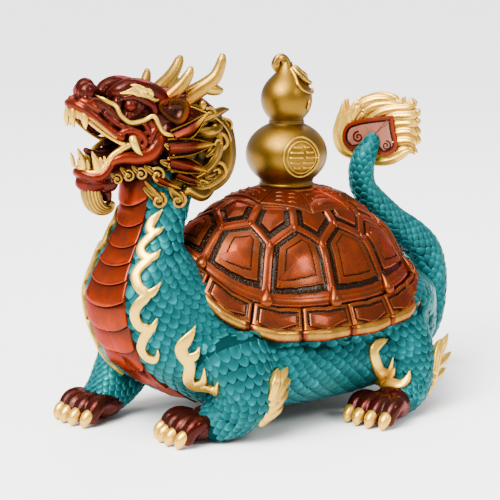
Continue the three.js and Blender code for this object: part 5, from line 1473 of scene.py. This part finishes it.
def make_heart(finish):
    """The lacquered heart on the tuft's face: a red band, a dark groove, a sunk field and two curls."""
    clay = Clay(TUFT["place"])
    outline = smooth_rows(HEART + HEART[:1], 3)[:-1]
    rings = [[flat_at(*p, out) for p in inset(outline, distance)] for distance, out, _ in HEART_RIM]
    last = inset(outline, HEART_RIM[-1][0])
    centre = last.mean(0)
    rings += [[flat_at(*(centre + (p - centre) * share), out) for p in last]
              for share, out, _ in HEART_FIELD]
    tones = np.repeat([row[2] for row in HEART_RIM + HEART_FIELD], len(outline))
    clay.add(closed_skin(rings), np.append(tones, [0.0, 0.8]))
    for across, up, radius, hand in HEART_CURLS:
        clay.add(coil(flat_at(across, up, 8.2), flat_at(0, 0, 1), radius, turns=1.4, girth=0.17, start=90,
                      hand=hand, rise=0.1), 0.4)
    return clay.piece("tuft_heart", finish, angle=40)


# Finishes

def paint(red, green, blue):
    """A colour picked on a screen, as the linear values that shaders take."""
    screen = (red / 255, green / 255, blue / 255)
    return tuple(c / 12.92 if c < 0.04045 else ((c + 0.055) / 1.055) ** 2.4 for c in screen)


def deeper(colour, share):
    """A colour at a share of its strength."""
    return tuple(c * share for c in colour)


def blended(first, second, share):
    """Two colours mixed, with so much of the second."""
    return tuple(a + (b - a) * share for a, b in zip(first, second))


def shades(colour, *steps):
    """A ramp's stops at [tone, share of the colour]."""
    return [(tone, deeper(colour, share)) for tone, share in steps]


class Nodes:
    """A material's nodes, added and joined in short lines."""

    def __init__(self, name):
        self.material = bpy.data.materials.new(name)
        self.material.use_nodes = True
        self.tree = self.material.node_tree
        self.shader = self.tree.nodes["Principled BSDF"]

    def add(self, kind, **values):
        """A node with its values; a name that starts with a line sets the input of that name."""
        node = self.tree.nodes.new(kind)
        for key, value in values.items():
            if key[0] == "_":
                node.inputs[key[1:].replace("_", " ").title()].default_value = value
            else:
                setattr(node, key, value)
        return node

    def join(self, output, socket):
        """A link from an output to a socket."""
        self.tree.links.new(output, socket)

    def ramp(self, source, stops):
        """A colour ramp of (place, colour) stops over a source."""
        node = self.add("ShaderNodeValToRGB")
        while len(node.color_ramp.elements) < len(stops):
            node.color_ramp.elements.new(0.5)
        for element, (place, colour) in zip(node.color_ramp.elements, stops):
            element.position, element.color = place, (*colour, 1)
        self.join(source, node.inputs["Fac"])
        return node.outputs["Color"]

    def range(self, source, start, end, low=0.0, high=1.0):
        """A source's start to end spread from low to high."""
        node = self.add("ShaderNodeMapRange", _from_min=start, _from_max=end, _to_min=low, _to_max=high)
        self.join(source, node.inputs["Value"])
        return node.outputs["Result"]

    def mix(self, share, first, second):
        """Two colours or outputs mixed by an output's share."""
        node = self.add("ShaderNodeMix", data_type="RGBA")
        self.join(share, node.inputs["Factor"])
        for value, socket in ((first, node.inputs[6]), (second, node.inputs[7])):
            if isinstance(value, tuple):
                socket.default_value = (*value, 1)
            else:
                self.join(value, socket)
        return node.outputs[2]


# How fine the cloudy mottling is, and the grain with its pits; and the roughness of a clear coat
CLOUDS = 140.0
GRAIN = 900.0
COAT_ROUGHNESS = 0.08


def finish(name, stops, metallic=0.0, rough=(0.25, 0.4), coat=0.0, patina_and_shade=(0.02, 0.015, 0.01), hollow=0.8,
           wear_and_sheen=None, edge=0.5, mottle=0.35, bump=0.15, pits=False, gleam=0.06, tint=(1, 1, 1)):
    """Colours by tone, mottled; the hollows darken with patina and painted shade, and the raised edges
    lighten with wear and a painted sheen. Pits stipple the tones of a groove."""
    nodes = Nodes(name)
    shader = nodes.shader
    tone = nodes.add("ShaderNodeAttribute", attribute_name="tone")
    where = nodes.add("ShaderNodeTexCoord")
    cloud = nodes.add("ShaderNodeTexNoise", _scale=CLOUDS, _detail=5.0, _roughness=0.6)
    fine = nodes.add("ShaderNodeTexNoise", _scale=GRAIN, _detail=4.0, _roughness=0.65)
    for node in (cloud, fine):
        nodes.join(where.outputs["Object"], node.inputs["Vector"])
    colour = nodes.ramp(tone.outputs["Fac"], stops)
    # Cloudy mottling towards the darker colour: tone that differs at random.
    shade = nodes.range(cloud.outputs["Fac"], 0.35, 0.68)
    colour = nodes.mix(nodes.range(shade, 0.0, 1.0, mottle, 0.0), colour, patina_and_shade)
    shape = nodes.add("ShaderNodeNewGeometry")
    # Darker in the hollows: patina with painted shade.
    sunk = nodes.range(shape.outputs["Pointiness"], 0.5, 0.42, 0.0, hollow)
    colour = nodes.mix(sunk, colour, patina_and_shade)
    if wear_and_sheen:
        # Lighter on raised edges: wear with a painted sheen.
        wear_and_sheen_mask = nodes.range(shape.outputs["Pointiness"], 0.52, 0.6, 0.0, edge)
        colour = nodes.mix(wear_and_sheen_mask, colour, wear_and_sheen)
    nodes.join(colour, shader.inputs["Base Color"])
    nodes.join(nodes.range(fine.outputs["Fac"], 0.3, 0.7, *rough), shader.inputs["Roughness"])
    shader.inputs["Metallic"].default_value = metallic
    shader.inputs["Specular IOR Level"].default_value = gleam
    shader.inputs["Specular Tint"].default_value = (*tint, 1)
    shader.inputs["Coat Weight"].default_value = coat
    shader.inputs["Coat Roughness"].default_value = COAT_ROUGHNESS
    height = fine.outputs["Fac"]
    if pits:
        spots = nodes.add("ShaderNodeTexVoronoi", _scale=GRAIN)
        nodes.join(where.outputs["Object"], spots.inputs["Vector"])
        low = nodes.range(tone.outputs["Fac"], 0.16, 0.22, 1.0, 0.0)
        height = nodes.mix(low, (0.5, 0.5, 0.5), nodes.range(spots.outputs["Distance"], 0.1, 0.5))
    relief = nodes.add("ShaderNodeBump", _strength=bump, _distance=0.0004)
    nodes.join(height, relief.inputs["Height"])
    nodes.join(relief.outputs["Normal"], shader.inputs["Normal"])
    return nodes.material


FINISHES = {}


def make_finishes():
    """Every finish of the figure, from the panel's colours."""
    c = bpy.context.scene.turtle_colours
    teal, lacquer, red, copper, brass, pale, patina_and_shade = (
        tuple(colour) for colour in (c.scale, c.belly, c.face, c.shell, c.brass, c.pale_gold, c.shadow))
    # The darkest tone of several ramps: patina with painted shade in the hollows.
    black, rose = deeper(patina_and_shade, 0.3), paint(150, 104, 84)
    bright_teal, warm = (0.3, 1.0, 1.0), (1.0, 0.4, 0.2)
    # Scales: darkest at the skirt, patina with painted shade; the bright stops near tone 1 are a painted
    # sheen.
    FINISHES["scales"] = finish(
        "scale lacquer", shades(teal, (0, 0.03), (0.42, 0.2), (0.66, 0.8), (0.86, 1.4), (1, 3)),
        metallic=0.3, rough=(0.26, 0.44), patina_and_shade=deeper(teal, 0.06), mottle=0.6, wear_and_sheen=deeper(teal, 3.2),
        tint=bright_teal)
    FINISHES["skin"] = finish(
        "dark skin", shades(teal, (0, 0.2), (1, 0.4)), rough=(0.6, 0.8), patina_and_shade=deeper(teal, 0.1),
        gleam=0.0)
    FINISHES["belly"] = finish(
        "belly lacquer", shades(lacquer, (0, 0.04), (0.4, 0.4), (0.75, 1), (1, 1.5)), metallic=0.65,
        rough=(0.14, 0.24), coat=0.06, mottle=0.5, wear_and_sheen=deeper(lacquer, 1.8), edge=0.3, tint=warm)
    # Face: the bright orange-red stop near tone 0.68, on the rolled lips, folds and jaw, is a painted
    # highlight.
    FINISHES["face"] = finish(
        "face lacquer", [(0, black), *shades(red, (0.35, 0.3), (0.55, 1)),
                         (0.68, blended(red, lacquer, 0.7)), (0.82, blended(lacquer, brass, 0.7)),
                         (1, pale)],
        metallic=0.65, rough=(0.12, 0.22), coat=0.06, hollow=1.0, mottle=0.5, wear_and_sheen=deeper(lacquer, 1.5),
        edge=0.4, tint=warm)
    FINISHES["paws"] = finish(
        "paw lacquer", [(0, black), *shades(red, (0.5, 0.55), (1, 1))], metallic=0.6, rough=(0.16, 0.3),
        coat=0.08, mottle=0.5, wear_and_sheen=deeper(lacquer, 1.5), tint=warm)
    FINISHES["spikes"] = finish(
        "lock lacquer", [(0, black), *shades(red, (0.3, 0.4), (0.62, 1)), (0.8, blended(red, brass, 0.6)),
                         (1, brass)],
        metallic=0.8, rough=(0.2, 0.34), hollow=0.95, tint=warm)
    FINISHES["brass"] = finish(
        "satin brass", shades(brass, (0, 0.02), (0.5, 0.2), (1, 0.8)), metallic=1.0, rough=(0.26, 0.4),
        hollow=1.0, mottle=0.5, wear_and_sheen=pale)
    FINISHES["pale"] = finish(
        "pale gold", [(0, deeper(brass, 0.2)), (0.6, blended(brass, pale, 0.5)), (1, pale)], metallic=0.8,
        rough=(0.24, 0.4), hollow=0.9, mottle=0.15, patina_and_shade=deeper(brass, 0.1))
    FINISHES["horn"] = finish(
        "horn gold", [(0, black), (0.28, deeper(lacquer, 0.9)), (0.42, blended(lacquer, brass, 0.3)),
                      (0.56, deeper(brass, 0.6)), (1, deeper(pale, 0.8))],
        metallic=0.85, rough=(0.24, 0.38))
    # Mane: lighter on the ridges with wear and a painted highlight.
    FINISHES["bronze"] = finish(
        "mane bronze", [(0, black), *shades(brass, (0.5, 0.1), (1, 0.5))], metallic=0.95,
        rough=(0.24, 0.42), hollow=1.0, mottle=0.5, wear_and_sheen=brass, edge=0.9)
    FINISHES["shell"] = finish(
        "shell copper", [*shades(copper, (0, 0.04), (0.14, 0.09), (0.3, 0.35), (0.5, 1.15)),
                         *shades(copper, (0.62, 0.75), (0.8, 1)), (0.92, blended(copper, brass, 0.2)),
                         (1, blended(deeper(copper, 0.5), brass, 0.55))],
        metallic=0.75, rough=(0.25, 0.3), coat=0.06, mottle=0.55, wear_and_sheen=blended(copper, brass, 0.3),
        edge=0.35, bump=0.6, pits=True, tint=warm)
    FINISHES["gourd"] = finish(
        "gourd brass", [(0, deeper(brass, 0.3)), (1, blended(brass, pale, 0.4))], metallic=1.0,
        rough=(0.36, 0.44), hollow=0.9, mottle=0.1, bump=0.08)
    FINISHES["heart"] = finish(
        "heart lacquer", [(0, black), (0.5, deeper(red, 0.8)), (0.64, deeper(lacquer, 0.9)),
                          (0.8, blended(lacquer, rose, 0.5)), (1, rose)],
        metallic=0.4, rough=(0.2, 0.32), coat=0.1, tint=warm)


def make_floor_paint():
    """A matt white that is a little uneven."""
    nodes = Nodes("floor paint")
    where = nodes.add("ShaderNodeTexCoord")
    cloud = nodes.add("ShaderNodeTexNoise", _scale=6.0)
    nodes.join(where.outputs["Object"], cloud.inputs["Vector"])
    whites = [(0.3, (0.93, 0.93, 0.93)), (0.7, (0.95, 0.95, 0.95))]
    nodes.join(nodes.ramp(cloud.outputs["Fac"], whites), nodes.shader.inputs["Base Color"])
    nodes.shader.inputs["Roughness"].default_value = 0.6
    return nodes.material


# The studio

FLOOR_SIDE = 40
FLOOR_DROP = 0.0002
LENS = 129.6
DAYLIGHT = 0.75
# Area lights as turn and height in degrees, distance and side in metres, and watts
LIGHTS = {"key": (15, 45, 1.1, 0.28, 15), "fill": (100, 35, 1.3, 0.3, 7), "rim": (215, 50, 1.2, 0.5, 7),
          "top": (50, 80, 1.3, 0.8, 10)}
WINDOW = {"turn": 10, "height": 50, "distance": 2, "strength": 12, "spread": 50}


def seen_from(azimuth, elevation):
    """The direction from the aim to what stands at a turn and a height."""
    return Vector((math.sin(azimuth) * math.cos(elevation), -math.cos(azimuth) * math.cos(elevation),
                   math.sin(elevation)))


def aimed(obj, aim):
    """Turns a camera or a light to its aim."""
    obj.rotation_euler = (aim - obj.location).to_track_quat("-Z", "Y").to_euler()
    return obj


def make_stage():
    """A pale floor, soft lights and the camera at the photograph's angle."""
    studio = bpy.context.scene.turtle_studio
    bpy.ops.object.select_all(action="DESELECT")
    bpy.ops.mesh.primitive_plane_add(size=FLOOR_SIDE, location=(0, 0, -FLOOR_DROP))
    floor = bpy.context.object
    floor.name = "floor"
    floor.data.materials.append(make_floor_paint())
    aim = Vector((-studio.aim_left * math.cos(studio.azimuth),
                  SHIFT * MM - studio.aim_left * math.sin(studio.azimuth), studio.aim_height))
    bpy.ops.object.camera_add(location=aim + seen_from(studio.azimuth,
                                                       studio.elevation) * studio.distance)
    camera = aimed(bpy.context.object, aim)
    camera.data.lens = LENS
    bpy.context.scene.camera = camera
    for name, (turn, height, distance, side, watts) in LIGHTS.items():
        place = aim + seen_from(math.radians(turn), math.radians(height)) * distance
        bpy.ops.object.light_add(type="AREA", location=place)
        light = aimed(bpy.context.object, aim)
        light.name, light.data.size, light.data.energy = name, side, watts * studio.light
    towards = seen_from(math.radians(WINDOW["turn"]), math.radians(WINDOW["height"]))
    bpy.ops.object.light_add(type="SUN", location=aim + towards * WINDOW["distance"])
    window = aimed(bpy.context.object, aim)
    window.name = "window"
    window.data.energy = WINDOW["strength"] * studio.light
    window.data.angle = math.radians(WINDOW["spread"])
    world = bpy.data.worlds.new("studio")
    world.use_nodes = True
    background = world.node_tree.nodes["Background"]
    background.inputs["Color"].default_value = (1, 1, 1, 1)
    background.inputs["Strength"].default_value = DAYLIGHT
    bpy.context.scene.world = world


# What a user may change

def colour(name, description, *screen):
    """A colour on the panel, with its default as picked on a screen."""
    return FloatVectorProperty(name=name, description=description, subtype="COLOR",
                               default=paint(*screen), min=0, max=1)


class TurtleColours(bpy.types.PropertyGroup):
    """The figure's colours."""
    scale: colour("Scales", "Teal lacquer of the scales", 12, 70, 72)
    belly: colour("Belly", "Orange-red lacquer of the belly plates", 130, 36, 7)
    face: colour("Face", "Deep red lacquer of the head and paws", 68, 9, 4)
    shell: colour("Shell", "Copper paint of the shell's panels", 112, 40, 12)
    brass: colour("Brass", "Satin brass of the gourd and the trims", 196, 144, 44)
    pale_gold: colour("Pale gold", "Pale gold of claws, teeth and flames", 220, 176, 66)
    # The hollows' brown, patina with painted shade, which the darkest tones take.
    shadow: colour("Hollows", "Brown that lies in the hollows", 14, 5, 2)


class TurtleSizes(bpy.types.PropertyGroup):
    """Sizes of the fine work."""
    scale_width: FloatProperty(name="Scale width", description="Width of a scale at the legs' tops",
                               default=0.005, min=0.003, max=0.01, unit="LENGTH")


class TurtleStudio(bpy.types.PropertyGroup):
    """Where the camera stands, and how strong the lights are."""
    azimuth: FloatProperty(name="Azimuth", description="Camera's turn round the figure", subtype="ANGLE",
                           default=math.radians(46.5))
    elevation: FloatProperty(name="Elevation", description="Camera's height as an angle", subtype="ANGLE",
                             default=math.radians(10))
    distance: FloatProperty(name="Distance", description="From the camera to its aim", default=0.9,
                            unit="LENGTH")
    aim_left: FloatProperty(name="Aim to the left", description="How far left of the gourd the camera aims",
                            default=0.018, unit="LENGTH")
    aim_height: FloatProperty(name="Aim height", description="Height that the camera aims at",
                              default=0.078, unit="LENGTH")
    light: FloatProperty(name="Light", description="Strength of all lights", default=1.0, min=0, max=10)


# One operator for each group of pieces

class TURTLE_OT_body(bpy.types.Operator):
    """Fuse trunk, legs and tail, lay the scales and the belly plates"""
    bl_idname = "turtle.body"
    bl_label = "Body"

    def execute(self, context):
        skin = make_skin(FINISHES["skin"])
        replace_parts(skin, "body")
        belly = make_belly(FINISHES["belly"])
        make_scales(skin, belly, FINISHES["scales"], context.scene.turtle_sizes.scale_width / MM)
        return {"FINISHED"}


class TURTLE_OT_trims(bpy.types.Operator):
    """Lay the gilt flames and the leg tufts on the skin"""
    bl_idname = "turtle.trims"
    bl_label = "Flames and leg tufts"

    def execute(self, context):
        make_flames(bpy.data.objects["skin"], FINISHES["pale"])
        make_leg_tufts(bpy.data.objects["skin"], FINISHES["pale"])
        return {"FINISHED"}


class TURTLE_OT_paws(bpy.types.Operator):
    """Model the four paws with their claws"""
    bl_idname = "turtle.paws"
    bl_label = "Paws"

    def execute(self, context):
        make_paws(FINISHES["paws"], FINISHES["pale"])
        return {"FINISHED"}


class TURTLE_OT_head(bpy.types.Operator):
    """Model the head, its mouth, teeth, ears, whiskers and horns"""
    bl_idname = "turtle.head"
    bl_label = "Head"

    def execute(self, context):
        head = make_head(FINISHES["face"])
        make_mouth(FINISHES["face"])
        make_teeth(FINISHES["pale"])
        make_gold(head, FINISHES["pale"], FINISHES["horn"])
        make_ears(FINISHES["spikes"])
        return {"FINISHED"}


class TURTLE_OT_mane(bpy.types.Operator):
    """Model the mane's locks, curls and spikes, and the beard"""
    bl_idname = "turtle.mane"
    bl_label = "Mane"

    def execute(self, context):
        make_mane(FINISHES["bronze"])
        make_spikes(FINISHES["spikes"])
        make_curls(FINISHES["bronze"])
        make_beard(FINISHES["brass"])
        return {"FINISHED"}


class TURTLE_OT_tuft(bpy.types.Operator):
    """Model the tail's tuft with its heart"""
    bl_idname = "turtle.tuft"
    bl_label = "Tail tuft"

    def execute(self, context):
        make_tuft(FINISHES["pale"])
        make_heart(FINISHES["heart"])
        return {"FINISHED"}


class TURTLE_OT_shell(bpy.types.Operator):
    """Model the shell with its scutes, crown and rim"""
    bl_idname = "turtle.shell"
    bl_label = "Shell"

    def execute(self, context):
        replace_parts(make_shell(FINISHES["shell"]), "shell")
        return {"FINISHED"}


class TURTLE_OT_gourd(bpy.types.Operator):
    """Draw up the gourd and lay its medallion, stem, leaf and tendril"""
    bl_idname = "turtle.gourd"
    bl_label = "Gourd"

    def execute(self, context):
        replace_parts(make_gourd(FINISHES["gourd"]), "gourd")
        make_medallion(FINISHES["brass"])
        make_vine(FINISHES["brass"])
        return {"FINISHED"}


class TURTLE_OT_stage(bpy.types.Operator):
    """Set up the floor, the lights and the camera"""
    bl_idname = "turtle.stage"
    bl_label = "Studio"

    def execute(self, context):
        make_stage()
        return {"FINISHED"}


STEPS = (TURTLE_OT_body, TURTLE_OT_trims, TURTLE_OT_paws, TURTLE_OT_head, TURTLE_OT_mane, TURTLE_OT_tuft,
         TURTLE_OT_shell, TURTLE_OT_gourd, TURTLE_OT_stage)
SETTINGS = {"turtle_colours": TurtleColours, "turtle_sizes": TurtleSizes, "turtle_studio": TurtleStudio}


class TURTLE_PT_panel(bpy.types.Panel):
    """Colours, sizes, studio and the steps that make the figure"""
    bl_idname = "TURTLE_PT_panel"
    bl_label = "Dragon Turtle"
    bl_space_type = "VIEW_3D"
    bl_region_type = "UI"
    bl_category = "Dragon Turtle"

    def draw(self, context):
        for name, group in SETTINGS.items():
            box = self.layout.box()
            for key in group.__annotations__:
                box.prop(getattr(context.scene, name), key)
        for step in STEPS:
            self.layout.operator(step.bl_idname)


def register():
    """Registers the settings, the steps and the panel."""
    for cls in (*SETTINGS.values(), *STEPS, TURTLE_PT_panel):
        bpy.utils.register_class(cls)
    for name, group in SETTINGS.items():
        setattr(bpy.types.Scene, name, PointerProperty(type=group))


def unregister():
    """Takes off what register adds."""
    for name in SETTINGS:
        delattr(bpy.types.Scene, name)
    for cls in (TURTLE_PT_panel, *reversed(STEPS), *reversed(SETTINGS.values())):
        bpy.utils.unregister_class(cls)


def main():
    """Makes the figure step by step."""
    register()
    make_finishes()
    for step in STEPS:
        group, name = step.bl_idname.split(".")
        getattr(getattr(bpy.ops, group), name)()


if __name__ == "__main__":
    main()
